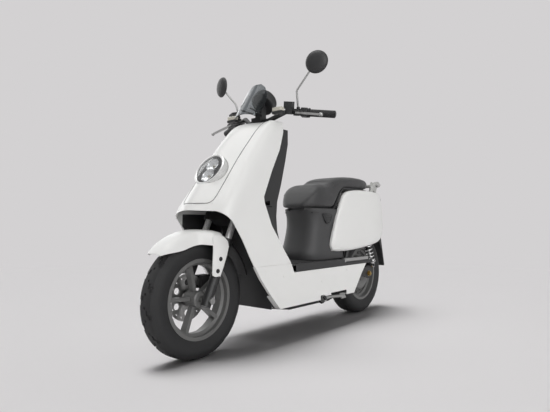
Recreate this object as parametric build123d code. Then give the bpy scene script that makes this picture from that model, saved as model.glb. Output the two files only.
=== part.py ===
from build123d import *
import math
import os

# Electric moped scooter. Millimetres. +X is the rider's left, -Y is forward, +Z is up.
# The origin lies on the ground, midway along the overall length and width.

os.makedirs("parts", exist_ok=True)

# ---- overall sizes -------------------------------------------------------------------------
wheelbase = 1280.0
overall_length = 1800.0
wall = 4.0                 # moulded panel thickness
gap = 1.0                  # clearance between pieces of different bodies
seam = 0.5                 # clearance between panels of one body

# ---- wheels --------------------------------------------------------------------------------
front_tyre_radius = 233.0
front_tyre_half_width = 47.0
front_contact_half = 19.0
rear_tyre_radius = 236.0
rear_tyre_half_width = 59.0
rear_contact_half = 25.0
rim_flange_radius = 159.0
rim_seat_radius = 151.0
front_rim_half = 34.0
rear_rim_half = 45.0
hub_radius = 32.0
front_hub_half = 38.0
spoke_count = 5
spoke_width = 30.0
spoke_thickness = 15.0
first_spoke_angle = 122.0
axle_radius = 7.5
axle_running_fit = 0.05
disc_radius = 95.0
disc_bore = 33.0
disc_thickness = 4.0
disc_x = -46.0
disc_hole_radius = 3.5
motor_radius = 104.0
motor_half_width = 52.0

front_axle_y = front_tyre_radius - overall_length / 2
rear_axle_y = front_axle_y + wheelbase
front_axle_z = front_tyre_radius
rear_axle_z = rear_tyre_radius

# ---- steering ------------------------------------------------------------------------------
rake = 25.0
fork_offset = 35.0
fork_half_spacing = 76.0
stanchion_radius = 14.0
lower_leg_radius = 20.0
slide_fit = 0.05
fork_travel = 65.0
stanchion_bottom = 110.0
lower_leg_top = 240.0
lower_leg_bottom = -42.0
crown_bottom = 326.0
crown_thickness = 38.0
head_tube_bottom = 440.0
head_tube_length = 250.0
head_tube_radius = 26.0
stem_radius = 14.0
stem_fit = 0.1
stem_top = 846.0

sin_rake = math.sin(math.radians(rake))
cos_rake = math.cos(math.radians(rake))
steer_origin = (0, front_axle_y + fork_offset / cos_rake, front_axle_z)
steer = Plane(origin=steer_origin, x_dir=(1, 0, 0), z_dir=(0, sin_rake, cos_rake)).location
axle_along_steer = -fork_offset * math.tan(math.radians(rake))

# ---- handlebar -----------------------------------------------------------------------------
bar_radius = 11.1
bar_fit = 0.05
bar_route = [(0, -281, 1004), (58, -281, 1004), (128, -234, 1046), (343, -155, 1014)]
grip_radius = 16.5
grip_start = 0.46          # share of the bar's outer run where the grip begins
bar_bend = 34.0

# ---- body ----------------------------------------------------------------------------------
body_half_width = 165.0
seam_x = 90.0              # edge of the centre front cover
cover_bottom = 608.0
# Horizontal sections of the front body: height, centre front, front at the seam, side half width,
# where the side face starts, and the rear edge
front_sections = [
    (340, -700, -660, 165, -600, -150),
    (470, -712, -672, 165, -612, -250),
    (586, -712, -668, 162, -596, -300),
    (661, -662, -618, 157, -535, -290),
    (754, -598, -550, 151, -452, -250),
    (856, -521, -470, 146, -374, -215),
    (943, -436, -394, 140, -310, -195),
    (990, -345, -326, 126, -262, -190),
]
arch_edge = [(-760, 586), (-716, 582), (-660, 578), (-620, 540), (-566, 468), (-521, 398), (-490, 350)]
shield_rear_edge = [(-266, 995), (-274, 943), (-308, 856), (-367, 757), (-428, 642), (-424, 615),
                    (-385, 524), (-310, 429), (-248, 358)]
shield_seam_z = 352.5
flange_depth = 6.0
knee_line = [(-222, 960), (-222, 895), (-240, 819), (-272, 707), (-300, 627), (-306, 560), (-300, 500),
             (-276, 429), (-236, 366), (-226, 352)]
knee_half_width = 126.0
skirt_outline = [(-489, 352), (-247, 352), (-226, 311.5), (449, 311.5), (398, 260), (349, 205), (312, 162),
                 (-326, 162), (-385, 222), (-454, 301)]
skirt_depth = 30.0
skirt_front_inner = 152.0      # room for the steered front mudguard
floor_top = 346.0
floor_thickness = 34.0
floor_front = -224.0
floor_rear = 528.0
floor_arm_start = 180.0
floor_arm_inner = 132.0
mat_thickness = 3.0
belly_bottom = 122.0
belly_half_width = 134.5
belly_rear = 205.0
belly_front = 347.5
liner_outline = [(-575, 604), (-372, 604), (-367, 540), (-352, 300), (-352, 160),
                 (-348, 160), (-348, 300), (-363, 541), (-368, 608), (-575, 608)]
liner_half_width = 156.2
liner_low_half = 134.0
frame_down_route = [(0, -428, 668), (0, -337, 580), (0, -335, 320), (0, -300, 214)]

# ---- frame ---------------------------------------------------------------------------------
main_tube_radius = 14.0
rail_radius = 12.0
rail_x = 124.0
rail_z = 196.0
seat_rail_x = 112.0
pivot_y = 262.0
pivot_z = 262.0

# ---- seat and rear -------------------------------------------------------------------------
seat_base_line = [(14, 592), (24, 560), (25, 524), (-4, 420), (-20, 384), (-14, 346)]
seat_base_top = 592.0
seat_base_rear = 288.0
seat_base_half = 121.0
seat_base_nose_half = 58.0
seat_base_shoulder = 96.0
tub_half_width = 96.0
tub_front = 50.0
tub_rear = 284.0
tub_bottom = 380.0
tub_wall = 3.0
seat_hinge_y = 0.0
seat_hinge_z = 603.0
seat_hinge_pin = 4.0
seat_gap = 0.4
seat_profile = [(-28, 612), (8, 668), (52, 722), (90, 738), (150, 743), (190, 752), (240, 776), (330, 792),
                (440, 802), (560, 802), (628, 788), (658, 764), (656, 738), (600, 734), (300, 731),
                (262, 706), (214, 640), (190, 613)]
seat_half_width = 124.0
pan_plan = [(50, 10), (100, 60), (112, 110), (112, 430), (98, 540), (76, 622), (-76, 622), (-98, 540),
            (-112, 430), (-112, 110), (-100, 60), (-50, 10)]
rear_outline = [(276, 697), (219, 639), (175, 558), (131, 446), (150, 402), (186, 389), (296, 385),
                (519, 401), (740, 436), (812, 470), (838, 530), (790, 640), (720, 706), (553, 719)]
rear_plan = [(150, 100), (150, 560), (141, 680), (112, 780), (66, 846)]
grab_radius = 11.0
swing_range = 8.0

# ---- controls ------------------------------------------------------------------------------
grip_fit = 0.05
lever_pivot_share = 0.30
lever_pivot_reach = 46.0
lever_tilt = 15.0
lever_half = 4.5
lever_outline = [(-10, 8), (10, 14), (34, 26), (72, 42), (116, 58), (120, 48), (76, 30), (38, 12), (12, -5),
                 (8, -8), (-8, -8)]
lever_ball = (120, 53)
lever_ball_radius = 9.0
lever_pin = 3.5
pod_height = 40.0
pod_depth = 38.0
pod_length = 34.0
pod_share = 0.305
button_pocket = 7.5
button_radius = 6.0
switch_radius = 5.0
button_fit = 0.3
button_travel = 2.0
button_proud = 4.0
indicator_x = 141.0
indicator_y = -312.0
indicator_z = 1034.0
indicator_width = 54.0
indicator_depth = 30.0
indicator_height = 30.0
pod_centre = (0, -244, 1106)
dial_radius = 58.0
dial_depth = 44.0
screen_centre = (0, -336, 1092)
screen_lean = 33.0
screen_radius = 118.0
screen_bulge = 14.0
screen_outline = [(-58, -92), (58, -92), (74, -60), (78, -30), (77, 10), (68, 48), (50, 80), (26, 97),
                  (-26, 97), (-50, 80), (-68, 48), (-77, 10), (-78, -30), (-74, -60)]
dial_lean = 50.0
screen_thickness = 3.0
mirror_elbow = (190, -240, 1130)
mirror_head = (297, -240, 1240)
mirror_radius = 52.0
mirror_turn = 17.0
mirror_stem_radius = 4.5
lock_x = -78.0
lock_z = 878.0
lock_radius = 15.0
lock_fit = 0.2
lock_face_y = -216.0

# ---- headlight -----------------------------------------------------------------------------
light_centre = (0, -596, 757)
light_radius = 78.0
light_tilt = 31.0
light_proud = 6.0
light_depth = 62.0
lens_thickness = 3.0

# ---- stands, footrests, suspension ---------------------------------------------------------
stand_pivot = (149, 21, 160)
stand_length = 180.0
stand_tilt = 25.0
stand_bolt_radius = 6.0
stand_head = 17.0
stand_leg_radius = 8.0
rest_x = 146.0
rest_front = 226.0
rest_length = 262.0
rest_z = 338.0
rest_thickness = 20.0
rest_shelf = 327.5
shock_x = 112.0
shock_top = (528, 486)
shock_bottom = (628, 286)
shock_eye_radius = 14.0
shock_pin_radius = 6.0
swing_pivot_radius = 10.0
swing_arm_x = 86.0
swing_arm_half = 9.0
rest_pin = 5.0
shock_rod_radius = 6.0
open_pivot_clearance = 4.0
spring_radius = 20.0
spring_wire = 3.5
spring_turns = 8
screw_radius = 5.0
screw_head = 1.5
skirt_screws = [(-300, 300), (0, 250), (240, 290), (-420, 330)]
base_screws = [(160, 395)]
mat_front = -208.0
mat_rear = -34.0
mat_ribs = 8
mat_rib_pitch = 32.0
battery_half = 111.5
battery_front = -276.0
battery_rear = 158.0
battery_low = 176.0
battery_high = 300.0
rear_tie_y = 330.0


def side_plate(points, x_low, x_high):
    """Solid with a (y, z) outline, from x_low to x_high."""
    face = Polyline(*[(y, z) for y, z in points], close=True)
    sketch = make_face(Plane.YZ * face)
    return Pos(x_low, 0, 0) * extrude(sketch, amount=x_high - x_low, dir=(1, 0, 0))


def plan_plate(points, z_low, z_high):
    """Solid with an (x, y) outline, from z_low to z_high."""
    return Pos(0, 0, z_low) * extrude(make_face(Polyline(*points, close=True)), amount=z_high - z_low)


def box_at(x_low, x_high, y_low, y_high, z_low, z_high):
    """Box between two corners."""
    middle = ((x_low + x_high) / 2, (y_low + y_high) / 2, (z_low + z_high) / 2)
    return Pos(*middle) * Box(x_high - x_low, y_high - y_low, z_high - z_low)


def rod(start, end, radius):
    """Round bar between two points."""
    start_point = Vector(*start)
    run = Vector(*end) - start_point
    return Plane(origin=start_point, z_dir=run).location * Cylinder(
        radius, run.length, align=(Align.CENTER, Align.CENTER, Align.MIN))


def tube(route, radius, bend):
    """Round bar along a route of straight runs joined by arcs."""
    path = FilletPolyline(*route, radius=bend)
    start = path @ 0
    return sweep(Plane(origin=start, z_dir=path % 0) * Circle(radius), path=path)


def hollow_rod(start, end, outer, inner):
    """Tube between two points."""
    return rod(start, end, outer) - rod(start, end, inner)


def mirrored(part):
    """The same part on the other side of the scooter."""
    return mirror(part, about=Plane.YZ)


def turned(points):
    """Solid of revolution about the X axis from (x, radius) points."""
    face = make_face(Polyline(*[(x, radius) for x, radius in points], close=True))
    return revolve(face, axis=Axis.X)


def wheel_place(part, axle_y, axle_z):
    return Pos(0, axle_y, axle_z) * part


def largest(part):
    """The main solid of a cut, without slivers."""
    return part.solids().sort_by(SortBy.VOLUME)[-1]


def save(name, part):
    solids = part.solids() if hasattr(part, "solids") else part
    shape = solids[0] if len(solids) == 1 else Compound(children=list(solids))
    shape.label = name
    export_step(shape, f"parts/{name}.step")
    print(name, len(solids), "solids")


# ---- wheels --------------------------------------------------------------------------------
def tyre(radius, half_width, contact_half, rim_half):
    """Rounded tyre with a flat contact band, open towards the rim."""
    shoulder = radius - 24
    section = [
        (-rim_half, rim_flange_radius - 7), (-rim_half, rim_flange_radius + 1),
        (-half_width, rim_flange_radius + 34), (-half_width + 1, shoulder),
        (-half_width + 14, radius - 8), (-contact_half, radius),
        (contact_half, radius), (half_width - 14, radius - 8), (half_width - 1, shoulder),
        (half_width, rim_flange_radius + 34), (rim_half, rim_flange_radius + 1),
        (rim_half, rim_flange_radius - 7), (rim_half - 12, rim_flange_radius - 2),
        (half_width - 14, rim_flange_radius + 30), (half_width - 17, shoulder - 4),
        (0, radius - 13), (-half_width + 17, shoulder - 4), (-half_width + 14, rim_flange_radius + 30),
        (-rim_half + 12, rim_flange_radius - 2),
    ]
    return turned(section)


def rim_ring(rim_half, flange_half):
    """Drop-centre rim with a flange each side."""
    section = [
        (-flange_half, rim_flange_radius), (-rim_half - seam, rim_flange_radius),
        (-rim_half - seam, rim_seat_radius), (-rim_half / 2, rim_seat_radius),
        (-rim_half / 2 + 5, rim_seat_radius - 12), (rim_half / 2 - 5, rim_seat_radius - 12),
        (rim_half / 2, rim_seat_radius), (rim_half + seam, rim_seat_radius),
        (rim_half + seam, rim_flange_radius), (flange_half, rim_flange_radius),
        (flange_half, rim_seat_radius - 6), (rim_half / 2 + 2, rim_seat_radius - 6),
        (rim_half / 2 - 4, rim_seat_radius - 18), (-rim_half / 2 + 4, rim_seat_radius - 18),
        (-rim_half / 2 - 2, rim_seat_radius - 6), (-flange_half, rim_seat_radius - 6),
    ]
    return turned(section)


def front_tyre():
    return wheel_place(tyre(front_tyre_radius, front_tyre_half_width, front_contact_half, front_rim_half),
                       front_axle_y, front_axle_z)


def rear_tyre():
    return wheel_place(tyre(rear_tyre_radius, rear_tyre_half_width, rear_contact_half, rear_rim_half),
                       rear_axle_y, rear_axle_z)


def front_rim():
    """Cast rim with flat tapered spokes and a hub bored for the axle."""
    ring = rim_ring(front_rim_half, front_rim_half + 4)
    hub = turned([(-front_hub_half, axle_radius + axle_running_fit), (-front_hub_half, hub_radius - 6),
                  (-front_hub_half + 8, hub_radius), (front_hub_half - 4, hub_radius),
                  (front_hub_half, hub_radius - 6), (front_hub_half, axle_radius + axle_running_fit)])
    wheel = ring + hub
    reach = rim_seat_radius - 14
    for number in range(spoke_count):
        angle = first_spoke_angle + number * 360 / spoke_count
        spoke = plan_plate([(hub_radius - 5, -spoke_width / 2 + 4), (reach, -spoke_width / 2 - 2),
                            (reach, spoke_width / 2 + 2), (hub_radius - 5, spoke_width / 2 - 4)],
                           -spoke_thickness / 2, spoke_thickness / 2)
        wheel += Rot(X=angle) * (Rot(Z=90) * (Rot(Y=90) * Rot(Z=0) * spoke))
    return wheel_place(wheel, front_axle_y, front_axle_z)


def front_disc():
    """Perforated brake disc on six bolts."""
    disc = Rot(Y=90) * Cylinder(disc_radius, disc_thickness)
    disc -= Rot(Y=90) * Cylinder(disc_bore, disc_thickness * 2)
    holes = PolarLocations(disc_radius - 14, 18)
    for spot in holes:
        disc -= Rot(Y=90) * (spot * Cylinder(disc_hole_radius, disc_thickness * 2))
    inner = PolarLocations(disc_radius - 34, 6)
    for spot in inner:
        disc -= Rot(Y=90) * (spot * Cylinder(13, disc_thickness * 2))
    carrier_hub = hollow_rod((disc_thickness / 2, 0, 0), (-disc_x - front_hub_half, 0, 0),
                             hub_radius - 8, 14)
    plate = hollow_rod((-disc_thickness / 2, 0, 0), (disc_thickness / 2, 0, 0), disc_bore + 1, 14)
    return wheel_place(Pos(disc_x, 0, 0) * (disc + plate + carrier_hub), front_axle_y, front_axle_z)


# ---- fork ----------------------------------------------------------------------------------
def fork_lowers():
    """Two lower legs that slide on the stanchions and hold the axle."""
    legs = []
    for side in (-1, 1):
        x = side * fork_half_spacing
        leg = rod((x, -fork_offset, lower_leg_bottom), (x, -fork_offset, lower_leg_top), lower_leg_radius)
        seal = rod((x, -fork_offset, lower_leg_top - 14), (x, -fork_offset, lower_leg_top),
                   lower_leg_radius + 2)
        leg = leg + seal
        leg -= rod((x, -fork_offset, stanchion_bottom - fork_travel - 8),
                   (x, -fork_offset, lower_leg_top + 1), stanchion_radius + slide_fit)
        axle_hole = rod((x - 60, -fork_offset, axle_along_steer), (x + 60, -fork_offset, axle_along_steer),
                        axle_radius + axle_running_fit)
        leg -= axle_hole
        legs.append((steer * leg).solid())
    return legs


def fork_stanchions():
    tubes = []
    for side in (-1, 1):
        x = side * fork_half_spacing
        part = hollow_rod((x, -fork_offset, stanchion_bottom), (x, -fork_offset, crown_bottom + crown_thickness + 2),
                          stanchion_radius, stanchion_radius - 3)
        tubes.append((steer * part).solid())
    return tubes


def steering_stem():
    """Lower yoke with two leg clamps, and the stem that turns in the head tube."""
    top = crown_bottom + crown_thickness
    yoke = box_at(-fork_half_spacing, fork_half_spacing, -fork_offset - 16, 18, crown_bottom, top)
    for side in (-1, 1):
        x = side * fork_half_spacing
        yoke += rod((x, -fork_offset, crown_bottom), (x, -fork_offset, top), stanchion_radius + 9)
    yoke += rod((0, 0, crown_bottom), (0, 0, top + 20), stem_radius + 12)
    for side in (-1, 1):
        x = side * fork_half_spacing
        yoke -= rod((x, -fork_offset, crown_bottom - 1), (x, -fork_offset, top + 30), stanchion_radius)
    stem = rod((0, 0, top), (0, 0, stem_top - 26), stem_radius)
    nut = rod((0, 0, head_tube_bottom + head_tube_length + gap),
              (0, 0, head_tube_bottom + head_tube_length + 14), stem_radius + 9)
    bearing_race = rod((0, 0, head_tube_bottom - 10), (0, 0, head_tube_bottom - gap), stem_radius + 11)
    column = steer * (yoke + stem + nut + bearing_race)
    clamp_y = bar_route[0][1]
    clamp_z = bar_route[0][2]
    clamp = box_at(-28, 28, clamp_y - 22, clamp_y + 30, clamp_z - 34, clamp_z + 20)
    clamp -= rod((-60, clamp_y, clamp_z), (60, clamp_y, clamp_z), bar_radius + bar_fit)
    return column + clamp


def front_axle():
    """Through axle with a head, nut and spacers."""
    half = fork_half_spacing + lower_leg_radius
    axle = rod((-half - 4, 0, 0), (half + 4, 0, 0), axle_radius)
    head = rod((half + seam, 0, 0), (half + 10, 0, 0), 13)
    nut = Rot(Y=90) * extrude(RegularPolygon(12, 6), amount=9)
    axle = axle + head + Pos(-half - 10, 0, 0) * nut
    for side in (-1, 1):
        inner = fork_half_spacing - lower_leg_radius - seam
        outer_of_hub = front_hub_half + 0.4 if side > 0 else -disc_x + disc_thickness / 2 + 0.4
        axle += rod((side * outer_of_hub, 0, 0), (side * inner, 0, 0), 12)
    return wheel_place(axle, front_axle_y, front_axle_z)


def front_fender():
    """Front mudguard: a curved strip over the tyre with an arm down to each lower leg."""
    outer = 270.0
    inner = outer - 4
    half = 50.0
    strip = turned([(-half, inner - 10), (-half + 6, inner - 2), (-20, inner + 4), (20, inner + 4),
                    (half - 6, inner - 2), (half, inner - 10), (half + 3, inner - 9), (half - 3, outer - 2),
                    (20, outer + 4), (-20, outer + 4), (-half + 3, outer - 2), (-half - 3, inner - 9)])
    angles = (16, 137)
    reach = 600
    wedge_points = [(0, 0)]
    for step in range(5):
        angle = math.radians(angles[0] + (angles[1] - angles[0]) * step / 4)
        wedge_points.append((reach * math.cos(angle), reach * math.sin(angle)))
    wedge = side_plate(wedge_points, -100, 100)
    strip = strip & wedge
    leg_side = fork_half_spacing + lower_leg_radius
    arm_outline = [(8, 256), (62, 250), (98, 208), (50, 98), (14, 90), (2, 104), (8, 196)]
    for side in (-1, 1):
        low, high = sorted((side * (leg_side + seam), side * (leg_side + seam + wall)))
        arm = side_plate(arm_outline, low, high)
        bridge_low, bridge_high = sorted((side * (half - 4), side * (leg_side + seam + wall)))
        bridge = side_plate([(9, 256), (52, 252), (55, 248), (9, 251)], bridge_low, bridge_high)
        strip = strip + arm + bridge
    return wheel_place(strip, front_axle_y, front_axle_z)


def front_caliper():
    """Brake caliper on a bracket behind the right leg, straddling the disc."""
    body = box_at(disc_x - 26, disc_x + 20, 62, 104, 30, 84)
    body -= box_at(disc_x - disc_thickness / 2 - gap, disc_x + disc_thickness / 2 + gap, 50, 110, 20, 90)
    body = body + box_at(disc_x - 26, disc_x + 20, 97, 112, 30, 84)
    body = body - rod((disc_x - 3.4, 0, 0), (disc_x + 3.4, 0, 0), disc_radius + 2)
    bracket = box_at(disc_x - 26, disc_x - 12, 30, 70, 30, 60)
    caliper = Pos(0, front_axle_y, front_axle_z) * (body + bracket)
    x = -fork_half_spacing
    leg = rod((x, -fork_offset, lower_leg_bottom), (x, -fork_offset, lower_leg_top),
              lower_leg_radius + axle_running_fit)
    return largest(caliper - steer * leg)


# ---- handlebar -----------------------------------------------------------------------------
def bar_point(side, share):
    """Point on the straight outer run of the handlebar, and the direction outwards."""
    start = Vector(*bar_route[2])
    end = Vector(*bar_route[3])
    point = start + (end - start) * share
    direction = (end - start).normalized()
    return (Vector(side * point.X, point.Y, point.Z), Vector(side * direction.X, direction.Y, direction.Z))


def bar_sleeve(side, low, high, radius, bore=bar_radius):
    start, _ = bar_point(side, low)
    end, _ = bar_point(side, high)
    return rod(start, end, radius) - rod(start, end, bore)


def handlebar():
    left = [Vector(*p) for p in bar_route[1:]]
    right = [Vector(-p.X, p.Y, p.Z) for p in reversed(left)]
    return tube(right + left, bar_radius, bar_bend)


def left_grip():
    return grip(1)


def throttle_grip():
    return grip(-1)


def grip(side):
    """Rubber grip with a flange inboard and a rounded end; it turns or is pressed on the bar."""
    sleeve = bar_sleeve(side, grip_start, 0.985, grip_radius, bar_radius + grip_fit)
    flange = bar_sleeve(side, grip_start, grip_start + 0.02, grip_radius + 5, bar_radius + grip_fit)
    return sleeve + flange


def lever_frame(side):
    """Local frame of a lever: origin at its pivot, +X outwards along the bar, +Z along the pivot."""
    start, way = bar_point(side, lever_pivot_share)
    up = Vector(0, -math.sin(math.radians(lever_tilt)), math.cos(math.radians(lever_tilt)))
    ahead = way.cross(up).normalized() * side
    if ahead.Y > 0:
        ahead = ahead * -1
    pivot = start + ahead * lever_pivot_reach
    axis = up - way * up.dot(way)
    return Plane(origin=pivot, x_dir=way, z_dir=axis.normalized())


def ahead_sign(side):
    """Local Y direction that points away from the rider."""
    return -1 if lever_frame(side).y_dir.Y > 0 else 1


def master_cylinders():
    """Brake master cylinders with a square reservoir and a clamp round the bar."""
    bodies = []
    for side in (-1, 1):
        place = lever_frame(side).location
        ahead = ahead_sign(side)
        body = box_at(-16, 16, *sorted((ahead * 16, ahead * -18)), -9.5, -lever_half - gap)
        body = body + box_at(-16, 16, *sorted((ahead * 16, ahead * -18)), lever_half + gap, 9.5)
        body = body + box_at(-46, 10, *sorted((ahead * -18, ahead * -12)), -9.5, 9.5)
        body = body + box_at(-56, -24, *sorted((ahead * 14, ahead * -20)), -9.5, 14)
        body = body + box_at(-64, -26, *sorted((ahead * 14, ahead * -24)), 14, 46)
        clamp = box_at(-25, -3, *sorted((ahead * -14, ahead * (-lever_pivot_reach - 16))), -15, 15)
        solid = place * (body + clamp)
        low, _ = bar_point(side, -0.3)
        high, _ = bar_point(side, 0.6)
        solid = solid - rod(low, high, bar_radius + bar_fit)
        solid = solid - place * rod((0, 0, -12), (0, 0, 12), lever_pin)
        pin = place * rod((0, 0, -10.5), (0, 0, 10.5), lever_pin)
        bodies.append((solid + pin).solid())
    return bodies


def brake_lever(side):
    """Flat tapered lever with a ball end, on the pin between the cylinder's two ears."""
    place = lever_frame(side).location
    ahead = ahead_sign(side)
    outline = [(x, ahead * y) for x, y in lever_outline]
    blade = plan_plate(outline, -lever_half, lever_half)
    ball = Pos(lever_ball[0], ahead * lever_ball[1], 0) * Sphere(lever_ball_radius)
    lever = blade + ball
    lever = lever - rod((0, 0, -20), (0, 0, 20), lever_pin + axle_running_fit)
    return place * lever


def pod_frame(side):
    start, way = bar_point(side, pod_share)
    return Plane(origin=start, z_dir=way, x_dir=(0, 0, 1))


def switch_pods():
    """Switch housings clamped on the bar, with pockets for their buttons."""
    pods = []
    for side in (-1, 1):
        place = pod_frame(side).location
        rear = 1 if pod_frame(side).y_dir.Y > 0 else -1
        pod = fillet(Box(pod_height, pod_depth, pod_length).edges(), 5)
        pod = Pos(0, 0, pod_length / 2) * pod
        for x, z, radius in pod_pockets(side):
            pocket = rod((x, rear * (pod_depth / 2 - button_pocket), z), (x, rear * 40, z), radius + button_fit)
            pod = pod - pocket
        pod = place * pod
        low, _ = bar_point(side, -0.2)
        high, _ = bar_point(side, 0.8)
        pods.append((pod - rod(low, high, bar_radius + bar_fit)).solid())
    return pods


def pod_pockets(side):
    """Height, distance along the pod and radius of each button."""
    if side > 0:
        return [(-9, 12, button_radius), (9, 24, switch_radius)]
    return [(6, 18, button_radius)]


def pod_button(side, index):
    """Button in its pocket, standing proud of the housing towards the rider."""
    x, z, radius = pod_pockets(side)[index]
    rear = 1 if pod_frame(side).y_dir.Y > 0 else -1
    near = pod_depth / 2 - button_pocket + button_travel + 0.4
    button = rod((x, rear * near, z), (x, rear * (pod_depth / 2 + button_proud), z), radius)
    return pod_frame(side).location * button


def front_indicators():
    """Pale lamp boxes with black rims, each on a short stalk clamped round the bar's rising run."""
    lamps = []
    low = Vector(*bar_route[1])
    run = Vector(*bar_route[2]) - low
    for side in (-1, 1):
        lamp = Pos(side * indicator_x, indicator_y, indicator_z) * fillet(
            Box(indicator_width, indicator_depth, indicator_height).edges(), 4)
        ends = [low + run * share for share in (0.43, 0.58, -1, 2)]
        ends = [(side * point.X, point.Y, point.Z) for point in ends]
        middle = low + run * 0.5
        clamp = rod(ends[0], ends[1], bar_radius + 5)
        stalk = rod((side * (indicator_x - 14), indicator_y + 8, indicator_z),
                    (side * middle.X, middle.Y, middle.Z), 6)
        lamps.append(largest(lamp + stalk + clamp - rod(ends[2], ends[3], bar_radius + bar_fit)))
    return lamps


def instrument_pod():
    """Round instrument housing on a neck on the stem clamp, with two arms that hold the screen."""
    lean = math.radians(dial_lean)
    place = Plane(origin=pod_centre, z_dir=(0, math.sin(lean), math.cos(lean))).location
    dial = fillet(Cylinder(dial_radius, dial_depth).edges(), 8)
    neck = box_at(-20, 20, pod_centre[1] - 40, pod_centre[1] - 8, bar_route[0][2] + 20.5, pod_centre[2] - 16)
    pod = place * dial + (neck - place * Cylinder(dial_radius - 4, dial_depth - 4))
    for side in (-1, 1):
        pod = pod + rod((side * 14, pod_centre[1] - 30, bar_route[0][2] + 36),
                        (screen_place() * Pos(side * 30, -56, 9)).position, 4)
    return largest(pod - windscreen())


def screen_place():
    """Local frame of the windscreen: +Z forward, +Y up along the screen."""
    lean = math.radians(screen_lean)
    return Plane(origin=screen_centre, x_dir=(1, 0, 0), z_dir=(0, -math.cos(lean), math.sin(lean))).location


def windscreen():
    """Small curved screen ahead of the instrument pod."""
    panel = extrude(make_face(Polyline(*screen_outline, close=True)), amount=80, both=True)
    curve = Pos(0, 0, screen_bulge - screen_radius) * Rot(X=90) * (
        Cylinder(screen_radius, 300) - Cylinder(screen_radius - screen_thickness, 300))
    return largest(screen_place() * (panel & curve & (Pos(0, 0, 40) * Box(300, 300, 160))))


def mirror_seat():
    """Top of the left master cylinder's clamp, where the mirror stem stands."""
    ahead = ahead_sign(1)
    spot = lever_frame(1).location * Pos(-14, -ahead * lever_pivot_reach, 15)
    return spot.position


def mirror_side(side):
    """Round mirror on a bent stem that stands on the master cylinder's clamp."""
    seat = mirror_seat()
    up = lever_frame(1).z_dir
    foot = seat + up * 0.3
    bend_low = seat + up * 24
    head_foot = Vector(mirror_head[0] - 10, mirror_head[1] + 4, mirror_head[2] - 40)
    stem = tube([foot, bend_low, (mirror_elbow[0], mirror_elbow[1], mirror_elbow[2]), head_foot],
                mirror_stem_radius, 12)
    boss = rod(foot, foot + up * 14, 9)
    aim = Vector(math.sin(math.radians(mirror_turn)), -math.cos(math.radians(mirror_turn)), 0)
    place = Plane(origin=mirror_head, z_dir=aim).location
    shell = Pos(0, 0, -2) * Cylinder(mirror_radius, 12)
    dome = Pos(0, 0, 4) * scale(Sphere(mirror_radius - 4), (1, 1, 0.32))
    shell = shell + (dome & (Pos(0, 0, 50) * Box(200, 200, 100)))
    whole = largest(stem + boss + (place * shell))
    return whole if side > 0 else mirrored(whole)


# ---- body panels ---------------------------------------------------------------------------
def section_face(section, inset):
    z, centre, seam_front, half, corner, rear = section
    half = half - inset
    front = centre + inset
    shoulder = seam_front + inset
    points = [(-half, corner + inset), (-seam_x, shoulder), (0, front), (seam_x, shoulder),
              (half, corner + inset)]
    curve = Spline(*[(x, y, z) for x, y in points], tangents=[(0, -1, 0), (0, 1, 0)])
    sides = Polyline((half, corner + inset, z), (half, rear, z), (-half, rear, z), (-half, corner + inset, z))
    return make_face(Curve() + [curve, sides])


def front_skin():
    """Shell of the front body: outer loft less the inner loft."""
    return front_volume(0) - front_volume(wall)


def front_volume(inset):
    """Filled volume of the front body, set in from its outside."""
    return loft([section_face(section, inset) for section in front_sections])


def behind_shield():
    """Everything behind the leg shield's rear edge."""
    low = [(shield_rear_edge[-1][0], 330), (200, 330)]
    return side_plate(shield_rear_edge + low + [(200, 1010), (shield_rear_edge[0][0], 1010)], -220, 220)


def below_arch():
    """Everything in front of and below the wheel arch edge."""
    return side_plate(arch_edge + [(-470, 330), (-900, 330), (-900, arch_edge[0][1])], -220, 220)


def headlight_axis(depth_front, depth_rear, radius):
    """Cylinder on the headlight's axis, between two depths in front of and behind its centre."""
    tilt = math.radians(light_tilt)
    way = Vector(0, -math.cos(tilt), math.sin(tilt))
    centre = Vector(*light_centre)
    return rod(centre + way * depth_front, centre - way * depth_rear, radius)


def front_cover(skin):
    """Centre front cover with the headlight opening."""
    window = box_at(-seam_x + seam / 2, seam_x - seam / 2, -900, -262, cover_bottom + seam, 985)
    return largest((skin & window) - headlight_axis(80, 80, light_radius + seam))


def leg_shield(skin):
    """One moulding: both sides of the front body and the lip over the wheel arch."""
    window = box_at(-seam_x - seam / 2, seam_x + seam / 2, -900, -262, cover_bottom, 1010)
    floor_cut = box_at(-220, 220, -900, 300, 300, shield_seam_z)
    shield = skin - window - behind_shield() - below_arch() - floor_cut
    return largest(shield)


def knee_panel():
    """Dark panel facing the rider, a tray open to the front with a top deck round the stem."""
    front_side = [(-262, 960), (-302, 870), (-346, 768), (-352, 668), (-350, 615), (-343, 524), (-300, 429),
                  (-246, 366), (-238, 352)]
    outline = front_side + list(reversed(knee_line))
    block = side_plate(outline, -knee_half_width, knee_half_width)
    cut_back = [(y - wall, z) for y, z in knee_line]
    cut = side_plate([(-600, 956)] + [(y, min(z, 956)) for y, z in cut_back] + [(-600, 352)],
                     -knee_half_width + wall, knee_half_width - wall)
    panel = block - cut
    edge = shield_rear_edge[1:6]
    strip = side_plate([(y - flange_depth, z) for y, z in edge] + [(y, z) for y, z in reversed(edge)], -200, 200)
    strip = strip & front_volume(wall + seam / 2)
    web = side_plate([(y - flange_depth, z) for y, z in edge] + [(-300, 640), (-244, 930)],
                     knee_half_width - wall, knee_half_width)
    strip = strip - box_at(-knee_half_width + wall, knee_half_width - wall, -600, 0, 300, 1100)
    panel = panel + strip + web + mirrored(web)
    panel = panel - steer * rod((0, 0, 700), (0, 0, 900), 32)
    panel = panel - rod((lock_x, -300, lock_z), (lock_x, -100, lock_z), lock_radius)
    return largest(panel)


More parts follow.
